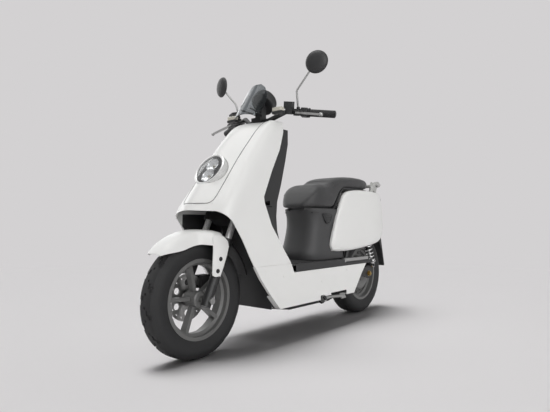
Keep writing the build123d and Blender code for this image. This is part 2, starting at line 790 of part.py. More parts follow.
def ignition_lock():
    """Key barrel pressed in the knee panel."""
    return rod((lock_x, -262, lock_z), (lock_x, lock_face_y, lock_z), lock_radius - lock_fit)


def ignition_knob():
    """Turning key knob on the barrel."""
    disc = rod((lock_x, lock_face_y + 0.3, lock_z), (lock_x, lock_face_y + 5, lock_z), lock_radius - 3)
    blade = box_at(lock_x - 2.5, lock_x + 2.5, lock_face_y + 5, lock_face_y + 26, lock_z - 11, lock_z + 11)
    return disc + blade


def wheel_liner():
    """Dark wall and ceiling behind the front wheel."""
    liner = side_plate(liner_outline, -liner_half_width, liner_half_width)
    liner = liner - steer * rod((0, 0, 300), (0, 0, 460), 36)
    liner = liner - rod(frame_down_route[0], frame_down_route[1], main_tube_radius + 2)
    for side in (-1, 1):
        liner = liner - box_at(*sorted((side * liner_low_half, side * 200)), -400, -300, 100, shield_seam_z + 4)
    return largest(liner)


def belly_pan():
    """Trough under the battery, with a front wall that meets the liner."""
    outline = [(-belly_half_width, 166), (-belly_half_width, 160), (-70, belly_bottom), (70, belly_bottom),
               (belly_half_width, 160), (belly_half_width, 166), (belly_half_width - wall, 166),
               (68, belly_bottom + wall), (-68, belly_bottom + wall), (-belly_half_width + wall, 166)]
    face = make_face(Plane.XZ * Polyline(*outline, close=True))
    trough = Pos(0, belly_rear, 0) * extrude(face, amount=belly_rear + belly_front, dir=(0, -1, 0))
    nose = [(-352, 164), (-120, 118), (-120, 100), (-400, 100), (-400, 164)]
    trough = trough - side_plate(nose, -200, 200)
    notch = box_at(124, 200, stand_pivot[1] - 18, stand_pivot[1] + 18, 146, 200)
    return largest(trough - notch)


def side_skirt(side):
    """White lower side panel: a tray open inwards."""
    low, high = body_half_width - skirt_depth, body_half_width
    outer = side_plate(skirt_outline, low, high)
    face = offset(make_face(Polyline(*skirt_outline, close=True)), amount=-wall, kind=Kind.INTERSECTION)
    inner = Pos(low - 1, 0, 0) * extrude(Plane.YZ * face, amount=skirt_depth + 1 - wall, dir=(1, 0, 0))
    skirt = outer - inner
    skirt = skirt - box_at(100, 200, stand_pivot[1] - 34, stand_pivot[1] + 215, 100, 186)
    skirt = skirt - box_at(100, skirt_front_inner, -500, -380, 100, 360)
    skirt = largest(drilled(skirt, 1))
    return skirt if side > 0 else mirrored(skirt)


def floorboard():
    """Footboard: an inverted tray with two arms that run back beside the seat base."""
    low = floor_top - floor_thickness
    half = body_half_width
    outline = [(-half + 14, floor_front), (half - 14, floor_front), (half, floor_front + 24), (half, floor_rear),
               (floor_arm_inner, floor_rear), (floor_arm_inner, floor_arm_start),
               (-floor_arm_inner, floor_arm_start), (-floor_arm_inner, floor_rear), (-half, floor_rear),
               (-half, floor_front + 24)]
    block = plan_plate(outline, low, floor_top)
    core = box_at(-half + wall, half - wall, floor_front + wall, floor_arm_start - wall, low - 1, floor_top - wall)
    board = block - core
    for side in (-1, 1):
        x_low, x_high = sorted((side * (floor_arm_inner + wall), side * (half - wall)))
        board = board - box_at(x_low, x_high, floor_arm_start - 8, floor_rear - wall, low - 1, floor_top - wall)
        notch_low, notch_high = sorted((side * (rest_x - 14), side * 200))
        shelf_low, shelf_high = sorted((side * (rest_x - 14), side * half))
        board = board - box_at(notch_low, notch_high, rest_front - 8, floor_rear + 1, rest_shelf, floor_top + 1)
        board = board + box_at(shelf_low, shelf_high, rest_front - 8, floor_rear - wall, rest_shelf - wall, rest_shelf)
        board = board + rod((side * rest_x, rest_front + 12, rest_shelf - 1),
                            (side * rest_x, rest_front + 12, floor_top + 6), rest_pin)
        board = board + rod((side * rest_x, rest_front + 12, rest_z + rest_thickness / 2 + seam),
                            (side * rest_x, rest_front + 12, floor_top + 6), rest_pin + 4)
    return largest(board)


def floor_mat():
    """Ribbed rubber mat on the footboard."""
    mat = box_at(-138, 138, mat_front, mat_rear, floor_top, floor_top + mat_thickness)
    for number in range(mat_ribs):
        x = (number - (mat_ribs - 1) / 2) * mat_rib_pitch
        mat = mat + box_at(x - 4, x + 4, mat_front + 8, mat_rear - 8, floor_top + mat_thickness,
                           floor_top + mat_thickness + 1.5)
    return mat


def battery():
    """Battery box between the floor rails, with a carrying handle recess."""
    box = box_at(-battery_half, battery_half, battery_front, battery_rear, battery_low, battery_high)
    box = fillet(box.edges().filter_by(Axis.Z), 12)
    recess = box_at(-45, 45, battery_front + 40, battery_front + 75, battery_high - 14, battery_high + 1)
    return box - recess


def seat_base():
    """Dark shell under the seat, open at the top and rear, with its seat hinge knuckle and pin."""
    plan = base_plan(0)
    inner_plan = base_plan(wall)
    line = seat_base_line
    keep = side_plate(line + [(seat_base_rear, floor_top), (seat_base_rear, seat_base_top)], -200, 200)
    keep_inner = side_plate([(y + wall, z) for y, z in line] + [(seat_base_rear + 1, floor_top),
                                                                (seat_base_rear + 1, seat_base_top)], -200, 200)
    outer = plan_plate(plan, floor_top, seat_base_top) & keep
    inner = plan_plate(inner_plan, floor_top, seat_base_top) & keep_inner
    base = outer - inner
    for vent in vent_louvres():
        base = base + vent
    web = box_at(-34, 34, seat_hinge_y - 5, line[0][0] + wall, 580, seat_hinge_z - 3)
    knuckle = rod((-34, seat_hinge_y, seat_hinge_z), (34, seat_hinge_y, seat_hinge_z), 7)
    pin = rod((-48, seat_hinge_y, seat_hinge_z), (48, seat_hinge_y, seat_hinge_z), seat_hinge_pin)
    base = drilled(drilled(base + web + knuckle + pin, 1), -1)
    return largest(base)


def base_plan(inset):
    """Half-rounded plan outline of the seat base, set in by a wall thickness."""
    half = seat_base_half - inset
    nose = seat_base_nose_half - inset / 2
    front = -30 + inset
    return [(nose, front), (half - 12, seat_base_shoulder - 40), (half, seat_base_shoulder + inset),
            (half, seat_base_rear + inset), (-half, seat_base_rear + inset), (-half, seat_base_shoulder + inset),
            (-half + 12, seat_base_shoulder - 40), (-nose, front)]


def storage_tub():
    """Open tub under the seat."""
    tub = box_at(-tub_half_width, tub_half_width, tub_front, tub_rear, tub_bottom, seat_base_top - 2)
    tub = fillet(tub.edges().filter_by(Axis.Z), 22)
    cavity = box_at(-tub_half_width + tub_wall, tub_half_width - tub_wall, tub_front + tub_wall,
                    tub_rear - tub_wall, tub_bottom + tub_wall, seat_base_top)
    cavity = fillet(cavity.edges().filter_by(Axis.Z), 19)
    rim = box_at(-seat_base_half + wall + seam, seat_base_half - wall - seam, tub_front - 18, tub_rear + 18,
                 seat_base_top - 5, seat_base_top - 2)
    rim = rim & plan_plate(base_plan(wall + seam), tub_bottom, seat_base_top)
    return tub + rim - cavity


def vent_louvres():
    """Louvred triangular vents on both sides of the seat base."""
    vents = []
    for side in (-1, 1):
        x_low, x_high = sorted((side * seat_base_half, side * (seat_base_half + 5)))
        vent = side_plate([(84, 586), (166, 586), (156, 552), (134, 532), (114, 532), (94, 556)], x_low, x_high)
        for number in range(5):
            z = 577 - number * 10
            cut_low, cut_high = sorted((side * (seat_base_half + 2), side * (seat_base_half + 9)))
            vent = vent - side_plate([(90, z), (196, z), (196, z - 4), (90, z - 4)], cut_low, cut_high)
        vents.append(vent.solid())
    return vents


def plan_ring(points, thickness, z_low, z_high):
    """Upright wall that follows a plan line on one side of the scooter."""
    inner = [(x - thickness, y) for x, y in points]
    inner[-1] = (points[-1][0] - thickness * 0.7, points[-1][1] - thickness * 0.8)
    return plan_plate(points + list(reversed(inner)), z_low, z_high)


def rear_panel(side):
    """White rear side panel that wraps round the tail."""
    ring = plan_ring(rear_plan, wall, 340, 760)
    face = make_face(Polyline(*rear_outline, close=True))
    face = fillet(face.vertices(), 14)
    mask = extrude(Plane.YZ * face, amount=200, dir=(1, 0, 0))
    panel = ring & mask
    lip = side_plate([(219, 639), (175, 558), (131, 446), (139, 441), (182, 553), (226, 634)],
                     seat_base_half + seam, 148)
    panel = largest(panel + (lip & mask))
    return panel if side > 0 else mirrored(panel)


def tail_light():
    """Tail lamp between the rear panels, with its dark carrier wall."""
    carrier = box_at(-68.5, 68.5, 828, 834, 486, 690)
    lamp = Pos(0, 843, 590) * fillet(Box(124, 20, 54).edges(), 7)
    return carrier + lamp


def rear_mudguard():
    """Dark rear mudguard that hangs from the tail, with a plate lug."""
    outer = [(700, 546), (796, 528), (856, 436), (884, 330), (900, 268), (893, 262), (872, 330), (846, 428),
             (790, 516), (700, 534)]
    guard = side_plate(outer, -58, 58)
    for side in (-1, 1):
        low, high = sorted((side * 54, side * 58))
        guard = guard + side_plate([(700, 546), (796, 528), (856, 436), (868, 372), (852, 380), (832, 420),
                                    (782, 490), (700, 508)], low, high)
    hanger = box_at(-40, 40, 694.5, 702, 535, 650)
    return guard + hanger


def grab_rail():
    """Light loop behind the seat on two feet."""
    route = [(-116, 596, 700), (-116, 622, 768), (-112, 700, 782), (-88, 776, 774), (88, 776, 774),
             (112, 700, 782), (116, 622, 768), (116, 596, 700)]
    rail = tube(route, grab_radius, 24)
    for side in (-1, 1):
        rail = rail + box_at(*sorted((side * 96, side * 128)), 582, 610, 655.5, 704)
    return rail


def headlight_housing():
    """Bright headlight ring with a dish behind it and two lamp bowls."""
    ring = headlight_axis(light_proud, light_depth, light_radius) - headlight_axis(
        light_proud + 1, light_depth - wall, light_radius - 6)
    bowls = headlight_axis(-20, light_depth, light_radius - 5)
    tilt = math.radians(light_tilt)
    way = Vector(0, -math.cos(tilt), math.sin(tilt))
    up = Vector(0, math.sin(tilt), math.cos(tilt))
    for shift in (-26, 26):
        centre = Vector(*light_centre) + up * shift - way * 8
        bowls = bowls - Pos(*centre) * Sphere(27)
    return ring + bowls


def headlight_lens():
    """Clear lens inside the ring."""
    lens = headlight_axis(light_proud - 1, -light_proud + 1 + lens_thickness, light_radius - 6 - seam / 2)
    return lens


def bolt_places(side):
    """Start and end of each panel screw on one side."""
    skirt_low, skirt_high = side * (body_half_width - wall), side * (body_half_width + screw_head)
    base_low, base_high = side * (seat_base_half - wall), side * (seat_base_half + screw_head)
    places = [((skirt_low, y, z), (skirt_high, y, z)) for y, z in skirt_screws]
    return places + [((base_low, y, z), (base_high, y, z)) for y, z in base_screws]


def panel_bolts():
    """Screws that hold the side skirts and the seat base."""
    return [rod(start, end, screw_radius) for side in (-1, 1) for start, end in bolt_places(side)]


def drilled(part, side):
    """Part with the holes of one side's panel screws."""
    for start, end in bolt_places(side):
        part = part - rod(start, end, screw_radius)
    return part


# ---- frame ---------------------------------------------------------------------------------
def frame():
    """Welded tube frame with head tube, floor rails, seat rails and brackets."""
    down = tube(frame_down_route, main_tube_radius, 40)
    head = steer * rod((0, 0, head_tube_bottom), (0, 0, head_tube_bottom + head_tube_length), head_tube_radius)
    whole = down + head
    for side in (-1, 1):
        rail = tube([(side * 10, -300, rail_z + 6), (side * rail_x, -296, rail_z), (side * rail_x, 240, rail_z),
                     (side * seat_rail_x, 346, 430), (side * seat_rail_x, 372, 590),
                     (side * 98, 690, 660)], rail_radius, 24)
        whole = whole + rail
        plate_low, plate_high = sorted((side * (seat_rail_x - 14), side * (seat_rail_x - 6)))
        low, high = sorted((side * 101, side * 107))
        whole = whole + side_plate([(196, 190), (238, 210), (300, 250), (290, 284), (262, 292), (232, 280),
                                    (190, 206)], low, high)
        shock_low, shock_high = sorted((side * (shock_x - 22), side * (shock_x - 16)))
        whole = whole + side_plate([(505, 470), (550, 470), (560, 632), (490, 618)], shock_low, shock_high)
        whole = whole + rod((side * (shock_x - 22), shock_top[0], shock_top[1]),
                            (side * (shock_x + 12), shock_top[0], shock_top[1]), shock_pin_radius)
    cross_pairs = [(-300, rail_z), (196, rail_z), (352, 470), (660, 654)]
    for y, z in cross_pairs:
        reach = rail_x if z < 300 else seat_rail_x if z < 600 else 100
        whole = whole + rod((-reach, y, z), (reach, y, z), rail_radius - 2)
    whole = whole + rod((-107, pivot_y, pivot_z), (107, pivot_y, pivot_z), swing_pivot_radius)
    whole = whole + box_at(-98, 98, 686, 694, 600, 664) + stand_bracket()
    whole = whole - steer * rod((0, 0, head_tube_bottom - 1), (0, 0, head_tube_bottom + head_tube_length + 1),
                                stem_radius + stem_fit)
    return largest(whole)


def stand_frame():
    """Local frame of the side stand: origin at its pivot, +Z along the tilted bolt."""
    tilt = math.radians(stand_tilt)
    return Plane(origin=stand_pivot, x_dir=(0, 1, 0), z_dir=(math.cos(tilt), 0, math.sin(tilt)))


# ---- rear end ------------------------------------------------------------------------------
def swingarm():
    """Two arms with a cross tube and a bush on the frame's pivot tube."""
    whole = hollow_rod((-100, pivot_y, pivot_z), (100, pivot_y, pivot_z), 19, swing_pivot_radius + axle_running_fit)
    for side in (-1, 1):
        low, high = sorted((side * (swing_arm_x - swing_arm_half), side * (swing_arm_x + swing_arm_half)))
        arm = side_plate([(pivot_y - 6, pivot_z + 16), (pivot_y + 60, pivot_z + 20), (rear_axle_y - 60, 270),
                          (rear_axle_y + 10, 292), (rear_axle_y + 40, 262), (rear_axle_y + 40, 220),
                          (rear_axle_y + 10, 206), (rear_axle_y - 60, 224), (pivot_y + 60, pivot_z - 22),
                          (pivot_y - 6, pivot_z - 16)], low, high)
        whole = whole + arm
        lug = rod((side * (swing_arm_x + swing_arm_half - 1), shock_bottom[0], shock_bottom[1]),
                  (side * (shock_x + 12), shock_bottom[0], shock_bottom[1]), shock_pin_radius)
        boss = rod((side * (swing_arm_x - swing_arm_half), shock_bottom[0], shock_bottom[1]),
                   (side * (swing_arm_x + swing_arm_half), shock_bottom[0], shock_bottom[1]), 16)
        whole = whole + lug + boss
    whole = whole + box_at(-80, 80, pivot_y + 30, pivot_y + 50, pivot_z - 14, pivot_z + 14)
    whole = whole - rod((-150, rear_axle_y, rear_axle_z), (150, rear_axle_y, rear_axle_z), axle_radius)
    whole = whole - rod((-150, pivot_y, pivot_z), (150, pivot_y, pivot_z), swing_pivot_radius + axle_running_fit)
    return largest(whole)


def rear_axle():
    """Axle with a nut and washer on each side."""
    reach = swing_arm_x + swing_arm_half
    axle = rod((-reach - 14, 0, 0), (reach + 14, 0, 0), axle_radius)
    for side in (-1, 1):
        nut = Rot(Y=90) * extrude(RegularPolygon(13, 6), amount=10)
        start = side * reach if side > 0 else -reach - 12
        axle = axle + Pos(start + side * 1 if side > 0 else start + 0, 0, 0) * nut
        axle = axle + rod((side * reach, 0, 0), (side * (reach + 2), 0, 0), 16)
        axle = axle + rod((side * (motor_half_width + 0.4), 0, 0),
                          (side * (swing_arm_x - swing_arm_half), 0, 0), 14)
    return wheel_place(axle, rear_axle_y, rear_axle_z)


def rear_rim():
    """Cast rear rim with a perforated web that bolts to the motor."""
    ring = rim_ring(rear_rim_half, rear_rim_half + 4)
    web = rod((-8, 0, 0), (8, 0, 0), rim_seat_radius - 14) - rod((-9, 0, 0), (9, 0, 0), motor_radius)
    for spot in PolarLocations(motor_radius + 16, 15):
        web = web - Rot(Y=90) * (spot * Cylinder(8, 40))
    return wheel_place(ring + web, rear_axle_y, rear_axle_z)


def hub_motor():
    """Hub motor with stepped side covers, turning on the axle."""
    body = turned([(-motor_half_width, axle_radius + axle_running_fit), (-motor_half_width, 42), (-44, 46),
                   (-40, motor_radius - 10), (-34, motor_radius - 2), (-8.5, motor_radius - 2),
                   (-8.5, motor_radius - 0.1), (8.5, motor_radius - 0.1), (8.5, motor_radius - 2),
                   (34, motor_radius - 2), (40, motor_radius - 10), (44, 46), (motor_half_width, 42),
                   (motor_half_width, axle_radius + axle_running_fit)])
    return wheel_place(body, rear_axle_y, rear_axle_z)


def shock_way():
    low = Vector(0, *shock_bottom)
    high = Vector(0, *shock_top)
    return low, high, (high - low).normalized()


def shock_bodies():
    """Upper halves of the two rear shocks, with an eye on the frame's pin."""
    halves = []
    low, high, way = shock_way()
    for side in (-1, 1):
        at = Vector(side * shock_x, 0, 0)
        body = rod(at + high - way * 8, at + high - way * 112, 16)
        cup = rod(at + high - way * 34, at + high - way * 40, 24)
        eye = rod((side * shock_x - 8, shock_top[0], shock_top[1]), (side * shock_x + 8, shock_top[0], shock_top[1]),
                  shock_eye_radius)
        half = body + cup + eye
        half = half - rod(at + high - way * 30, at + high - way * 120, shock_rod_radius + slide_fit)
        half = half - rod((side * 60, shock_top[0], shock_top[1]), (side * 160, shock_top[0], shock_top[1]),
                          shock_pin_radius + axle_running_fit)
        halves.append(half.solid())
    return halves


def shock_rods():
    """Lower rods of the rear shocks; their lower eyes have clearance on the swingarm's pins."""
    halves = []
    low, high, way = shock_way()
    for side in (-1, 1):
        at = Vector(side * shock_x, 0, 0)
        stem = rod(at + low + way * 8, at + high - way * 85, shock_rod_radius)
        cup = rod(at + low + way * 24, at + low + way * 30, 24)
        eye = rod((side * shock_x - 8, shock_bottom[0], shock_bottom[1]),
                  (side * shock_x + 8, shock_bottom[0], shock_bottom[1]), shock_eye_radius)
        half = stem + cup + eye
        half = half - rod((side * 60, shock_bottom[0], shock_bottom[1]),
                          (side * 160, shock_bottom[0], shock_bottom[1]), shock_pin_radius + open_pivot_clearance)
        halves.append(half.solid())
    return halves


def shock_springs():
    """Coil springs between the shocks' cups."""
    coils = []
    low, high, way = shock_way()
    length = (high - low).length - 40 - 30 - 1
    for side in (-1, 1):
        at = Vector(side * shock_x, 0, 0)
        path = Helix(pitch=(length - 8) / spring_turns, height=length - 8, radius=spring_radius)
        section = Plane(origin=path @ 0, z_dir=path % 0) * Circle(spring_wire)
        coil = sweep(section, path=path, is_frenet=True)
        place = Plane(origin=at + low + way * (30.5 + 4), z_dir=way).location
        coils.append((place * coil).solid())
    return coils


# ---- seat ----------------------------------------------------------------------------------
def seat_cushion():
    """Two-level seat cushion, a plain closed solid."""
    block = side_plate(seat_profile, -seat_half_width, seat_half_width)
    plan = [(-52, -32), (52, -32), (88, -8), (112, 50), (seat_half_width, 110), (seat_half_width, 440),
            (110, 540), (84, 640), (66, 662), (-66, 662), (-84, 640), (-110, 540), (-seat_half_width, 440),
            (-seat_half_width, 110), (-112, 50), (-88, -8)]
    block = block & plan_plate(plan, 560, 860)
    return block


def seat_pan():
    """Moulded pan under the cushion with the hinge eyes at its nose."""
    drop = 9
    under = [(6, 612), (190, 613), (214, 640), (262, 706), (300, 731), (600, 734), (622, 735)]
    top = [(y, z - seat_gap) for y, z in under]
    low = [(y + (4 if 190 < y < 300 else 0), z - drop) for y, z in under]
    pan = side_plate(top + list(reversed(low)), -seat_half_width, seat_half_width)
    pan = pan & plan_plate(pan_plan, 560, 860)
    for side in (-1, 1):
        x_low, x_high = sorted((side * 35, side * 46))
        eye = rod((x_low, seat_hinge_y, seat_hinge_z), (x_high, seat_hinge_y, seat_hinge_z), 7)
        arm = box_at(x_low, x_high, seat_hinge_y, 24, seat_hinge_z - 2, seat_hinge_z + 7)
        pan = pan + eye + arm
    pan = pan - rod((-60, seat_hinge_y, seat_hinge_z), (60, seat_hinge_y, seat_hinge_z), seat_hinge_pin + 0.05)
    return largest(pan)


def side_stand():
    """Side stand folded back, with a forked head on its bolt and a flat foot."""
    place = stand_frame().location
    middle = stand_head / 2
    head = rod((0, 0, 0), (0, 0, stand_head), 17)
    leg = tube([(0, 0, middle), (60, 2, middle), (stand_length, -6, middle)], stand_leg_radius, 30)
    foot = Pos(stand_length, -6, middle) * fillet(Box(40, 30, 10).edges(), 3)
    stand = head + leg + foot
    stand = stand - rod((0, 0, -20), (0, 0, 30), stand_bolt_radius + axle_running_fit)
    return place * stand


def stand_bracket():
    """Bracket on the left floor rail with the stand's bolt."""
    place = stand_frame().location
    plate = place * rod((0, 0, -8), (0, 0, -gap), 20)
    bolt = place * (rod((0, 0, -8), (0, 0, stand_head + 2), stand_bolt_radius)
                    + rod((0, 0, stand_head + seam), (0, 0, stand_head + 6), 11))
    arm = place * box_at(-14, 14, 0, 36, -14, -8)
    return plate + bolt + arm


def footrest(side):
    """Folded pillion footrest on its upright pivot bolt."""
    x = side * rest_x
    bar = box_at(*sorted((side * (rest_x - 10), side * (rest_x + 12))), rest_front + 14, rest_front + rest_length,
                 rest_z - rest_thickness / 2, rest_z + rest_thickness / 2)
    bar = fillet(bar.edges().filter_by(Axis.Y), 4)
    eye = rod((x, rest_front + 12, rest_z - 9), (x, rest_front + 12, rest_z + 9), 12)
    rest = bar + eye
    rest = rest - rod((x, rest_front + 12, rest_z - 30), (x, rest_front + 12, rest_z + 30),
                      rest_pin + axle_running_fit)
    return largest(rest)


def main():
    skin = front_skin()
    save("frame", frame())
    save("front_cover", front_cover(skin))
    save("leg_shield", leg_shield(skin))
    save("knee_panel", knee_panel())
    save("wheel_liner", wheel_liner())
    save("belly_pan", belly_pan())
    save("left_side_skirt", side_skirt(1))
    save("right_side_skirt", side_skirt(-1))
    save("floorboard", floorboard())
    save("floor_mat", floor_mat())
    save("battery", battery())
    save("seat_base", seat_base())
    save("storage_tub", storage_tub())
    save("left_rear_panel", rear_panel(1))
    save("right_rear_panel", rear_panel(-1))
    save("tail_light", tail_light())
    save("rear_mudguard", rear_mudguard())
    save("grab_rail", grab_rail())
    save("headlight_housing", headlight_housing())
    save("headlight_lens", headlight_lens())
    save("panel_bolts", panel_bolts())
    save("ignition_lock", ignition_lock())
    save("ignition_knob", ignition_knob())
    save("side_stand", side_stand())
    save("left_footrest", footrest(1))
    save("right_footrest", footrest(-1))
    save("steering_stem", steering_stem())
    save("fork_stanchions", fork_stanchions())
    save("handlebar", handlebar())
    save("left_grip", left_grip())
    save("throttle_grip", throttle_grip())
    save("switch_pods", switch_pods())
    save("horn_button", pod_button(1, 0))
    save("turn_switch", pod_button(1, 1))
    save("start_button", pod_button(-1, 0))
    save("master_cylinders", master_cylinders())
    save("left_brake_lever", brake_lever(1))
    save("right_brake_lever", brake_lever(-1))
    save("front_indicators", front_indicators())
    save("instrument_pod", instrument_pod())
    save("windscreen", windscreen())
    save("left_mirror", mirror_side(1))
    save("right_mirror", mirror_side(-1))
    save("fork_lowers", fork_lowers())
    save("front_axle", front_axle())
    save("front_fender", front_fender())
    save("front_caliper", front_caliper())
    save("front_tyre", front_tyre())
    save("front_rim", front_rim())
    save("front_disc", front_disc())
    save("swingarm", swingarm())
    save("rear_axle", rear_axle())
    save("rear_tyre", rear_tyre())
    save("rear_rim", rear_rim())
    save("hub_motor", hub_motor())
    save("shock_bodies", shock_bodies())
    save("shock_rods", shock_rods())
    save("shock_springs", shock_springs())
    save("seat_pan", seat_pan())
    save("seat_cushion", seat_cushion())


main()
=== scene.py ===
"""Looks of an electric moped scooter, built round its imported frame.

Metres. +X is the rider's left, -Y is forward and +Z is up. The ground is at Z 0.
"""

import logging
import math
from dataclasses import dataclass
from enum import Enum

import bmesh
import bpy
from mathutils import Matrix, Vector

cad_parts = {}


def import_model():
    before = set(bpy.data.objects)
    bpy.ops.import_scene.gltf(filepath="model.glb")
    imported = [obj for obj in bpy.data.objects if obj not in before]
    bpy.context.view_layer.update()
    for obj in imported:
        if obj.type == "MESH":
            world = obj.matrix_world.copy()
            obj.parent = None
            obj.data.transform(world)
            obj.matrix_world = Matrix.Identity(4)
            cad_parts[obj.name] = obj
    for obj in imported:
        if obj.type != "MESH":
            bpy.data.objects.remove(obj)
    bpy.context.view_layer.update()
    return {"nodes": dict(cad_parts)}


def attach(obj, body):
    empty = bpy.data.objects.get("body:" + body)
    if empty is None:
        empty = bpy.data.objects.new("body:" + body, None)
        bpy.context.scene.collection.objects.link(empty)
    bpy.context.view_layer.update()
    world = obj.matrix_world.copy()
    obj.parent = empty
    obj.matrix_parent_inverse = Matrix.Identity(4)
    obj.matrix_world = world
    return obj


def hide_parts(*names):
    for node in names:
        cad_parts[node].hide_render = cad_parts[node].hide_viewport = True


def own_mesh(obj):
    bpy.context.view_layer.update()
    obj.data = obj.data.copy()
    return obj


LOG = logging.getLogger("moped_scooter")
MM = 0.001
Point = tuple[float, float, float]
Piece = bpy.types.Object
Tree = bpy.types.NodeTree


# ---- finishes ------------------------------------------------------------------------------
class Grain(Enum):
    """How a finish's fine surface was made."""

    FINE = "noise"
    LEATHER = "cells"
    BRUSHED = "streaks"


def linear(code: str) -> tuple[float, float, float, float]:
    """Turns an sRGB hex colour to linear.

    Args:
        code: Six hex digits.
    Returns:
        Red, green, blue and alpha, linear.
    """
    channels = [int(code[start:start + 2], 16) / 255 for start in (0, 2, 4)]
    curved = [c / 12.92 if c <= 0.04045 else ((c + 0.055) / 1.055) ** 2.4 for c in channels]
    return (*curved, 1.0)


def add_node(tree: Tree, kind: str, values: dict | None = None,
             links: dict | None = None, **settings: object) -> bpy.types.Node:
    """Adds one shader node.

    Args:
        tree: Node tree that gets the node.
        kind: Node type.
        values: Socket name to its constant.
        links: Socket name to the output that feeds it.
        settings: Node properties.
    Returns:
        The node.
    """
    node = tree.nodes.new(kind)
    for name, value in settings.items():
        setattr(node, name, value)
    for socket, value in (values or {}).items():
        node.inputs[socket].default_value = value
    for socket, source in (links or {}).items():
        tree.links.new(source, node.inputs[socket])
    return node


def fresh_tree(owner: bpy.types.Material | bpy.types.World) -> Tree:
    """Empty node tree of a material or world.

    Args:
        owner: Material or world.
    Returns:
        The tree.
    """
    owner.use_nodes = True
    owner.node_tree.nodes.clear()
    return owner.node_tree


@dataclass(frozen=True)
class Finish:
    """A real material and how its surface was made.

    Sizes are in millimetres: grain_mm is the size of the fine grain, relief_mm its height and
    mottle_mm the size of the slow colour change, whose strength is mottle. The roughness changes
    with the grain by gloss_change, and clear is how much light goes through.
    """

    name: str
    colour: str
    roughness: float
    metallic: float = 0.0
    ior: float = 1.5
    coat: float = 0.0
    grain: Grain = Grain.FINE
    grain_mm: float = 1.0
    relief_mm: float = 0.02
    mottle_mm: float = 70.0
    mottle: float = 0.06
    sheen: float = 0.0
    clear: float = 0.0
    stretch: Point = (1.0, 1.0, 1.0)
    gloss_change: float = 0.12

    def material(self) -> bpy.types.Material:
        """Builds the finish's node material once.

        Returns:
            The material.
        """
        known = bpy.data.materials.get(self.name)
        if known:
            return known
        material = bpy.data.materials.new(self.name)
        tree = fresh_tree(material)
        place = add_node(tree, "ShaderNodeTexCoord").outputs["Object"]
        stretched = add_node(tree, "ShaderNodeMapping", {"Scale": self.stretch}, {"Vector": place})
        fine = self.fine_height(tree, stretched.outputs["Vector"])
        slow = add_node(tree, "ShaderNodeTexNoise", {"Scale": 1 / (self.mottle_mm * MM), "Detail": 3.0},
                        {"Vector": place}).outputs["Fac"]
        base = linear(self.colour)
        dark = tuple(c * (1 - self.mottle) for c in base[:3]) + (1.0,)
        # Inputs 6 and 7 of this node are its two colours, and output 2 their mix.
        tint = add_node(tree, "ShaderNodeMix", {6: dark, 7: base}, {0: slow}, data_type="RGBA")
        spread = add_node(tree, "ShaderNodeMapRange",
                          {"From Min": 0.3, "From Max": 0.7,
                           "To Min": self.roughness * (1 - self.gloss_change),
                           "To Max": min(self.roughness * (1 + self.gloss_change), 1.0)}, {"Value": fine})
        bump = add_node(tree, "ShaderNodeBump", {"Strength": 0.6, "Distance": self.relief_mm * MM},
                        {"Height": fine})
        shader = add_node(tree, "ShaderNodeBsdfPrincipled",
                          {"Metallic": self.metallic, "IOR": self.ior, "Coat Weight": self.coat,
                           "Coat Roughness": 0.2, "Sheen Weight": self.sheen,
                           "Transmission Weight": self.clear},
                          {"Base Color": tint.outputs[2], "Roughness": spread.outputs["Result"],
                           "Normal": bump.outputs["Normal"]})
        add_node(tree, "ShaderNodeOutputMaterial", links={"Surface": shader.outputs["BSDF"]})
        return material

    def fine_height(self, tree: Tree, place: bpy.types.NodeSocket) -> bpy.types.NodeSocket:
        """Height of the fine grain.

        Args:
            tree: Node tree that gets the texture.
            place: Position on the surface.
        Returns:
            The height socket.
        """
        scale = 1 / (self.grain_mm * MM)
        if self.grain is Grain.LEATHER:
            # Closed cells with soft valleys between them, as embossed vinyl has.
            return add_node(tree, "ShaderNodeTexVoronoi", {"Scale": scale}, {"Vector": place},
                            feature="SMOOTH_F1").outputs["Distance"]
        noise = add_node(tree, "ShaderNodeTexNoise", {"Scale": scale, "Detail": 4.0}, {"Vector": place})
        return noise.outputs["Fac"]

    def dress(self, piece: Piece) -> None:
        """Gives the whole piece this finish."""
        piece.data.materials.clear()
        piece.data.materials.append(self.material())


# Two-pack white paint over ABS: the coat gives a clean gloss, the relief a trace of orange peel.
WHITE_PAINT = Finish("white_painted_abs", "F1F1EF", 0.42, coat=0.2, grain_mm=5.0, relief_mm=0.012,
                     mottle=0.02)
# Moulded ABS with a spark-eroded grain that breaks up its shine. The grain is drawn at 1.6 mm, as the
# real one is too fine to show.
DARK_ABS = Finish("moulded_black_abs", "2B2B2C", 0.5, grain_mm=1.6, relief_mm=0.05, mottle=0.12)
# Grey moulded polypropylene of the seat base: the same grain, a little lighter than the ABS.
GREY_SHELL = Finish("moulded_grey_polypropylene", "444445", 0.55, grain_mm=1.6, relief_mm=0.05, mottle=0.1)
# Powder coat on steel: soft gloss with a fine peel.
POWDER_COAT = Finish("black_powder_coat", "1D1D1E", 0.42, grain_mm=2.0, relief_mm=0.03, mottle=0.08)
# Satin paint over the cast aluminium of the rims and hub, through which the casting's grain shows.
RIM_PAINT = Finish("satin_black_cast_aluminium", "6A6A69", 0.36, grain_mm=1.4, relief_mm=0.04, mottle=0.1)
# Satin chrome on the fork tubes and lamp ring: bright, with its reflections blurred.
SATIN_CHROME = Finish("satin_chrome", "E4E4E3", 0.3, metallic=0.6, grain_mm=3.0, relief_mm=0.006, mottle=0.04)
# Hard chrome on rods and springs: nearly a mirror, with faint grinding lines.
CHROME = Finish("hard_chrome", "D6D6D6", 0.14, metallic=1.0, grain=Grain.BRUSHED, grain_mm=3.0,
                relief_mm=0.004, stretch=(1.0, 1.0, 8.0), mottle=0.05)
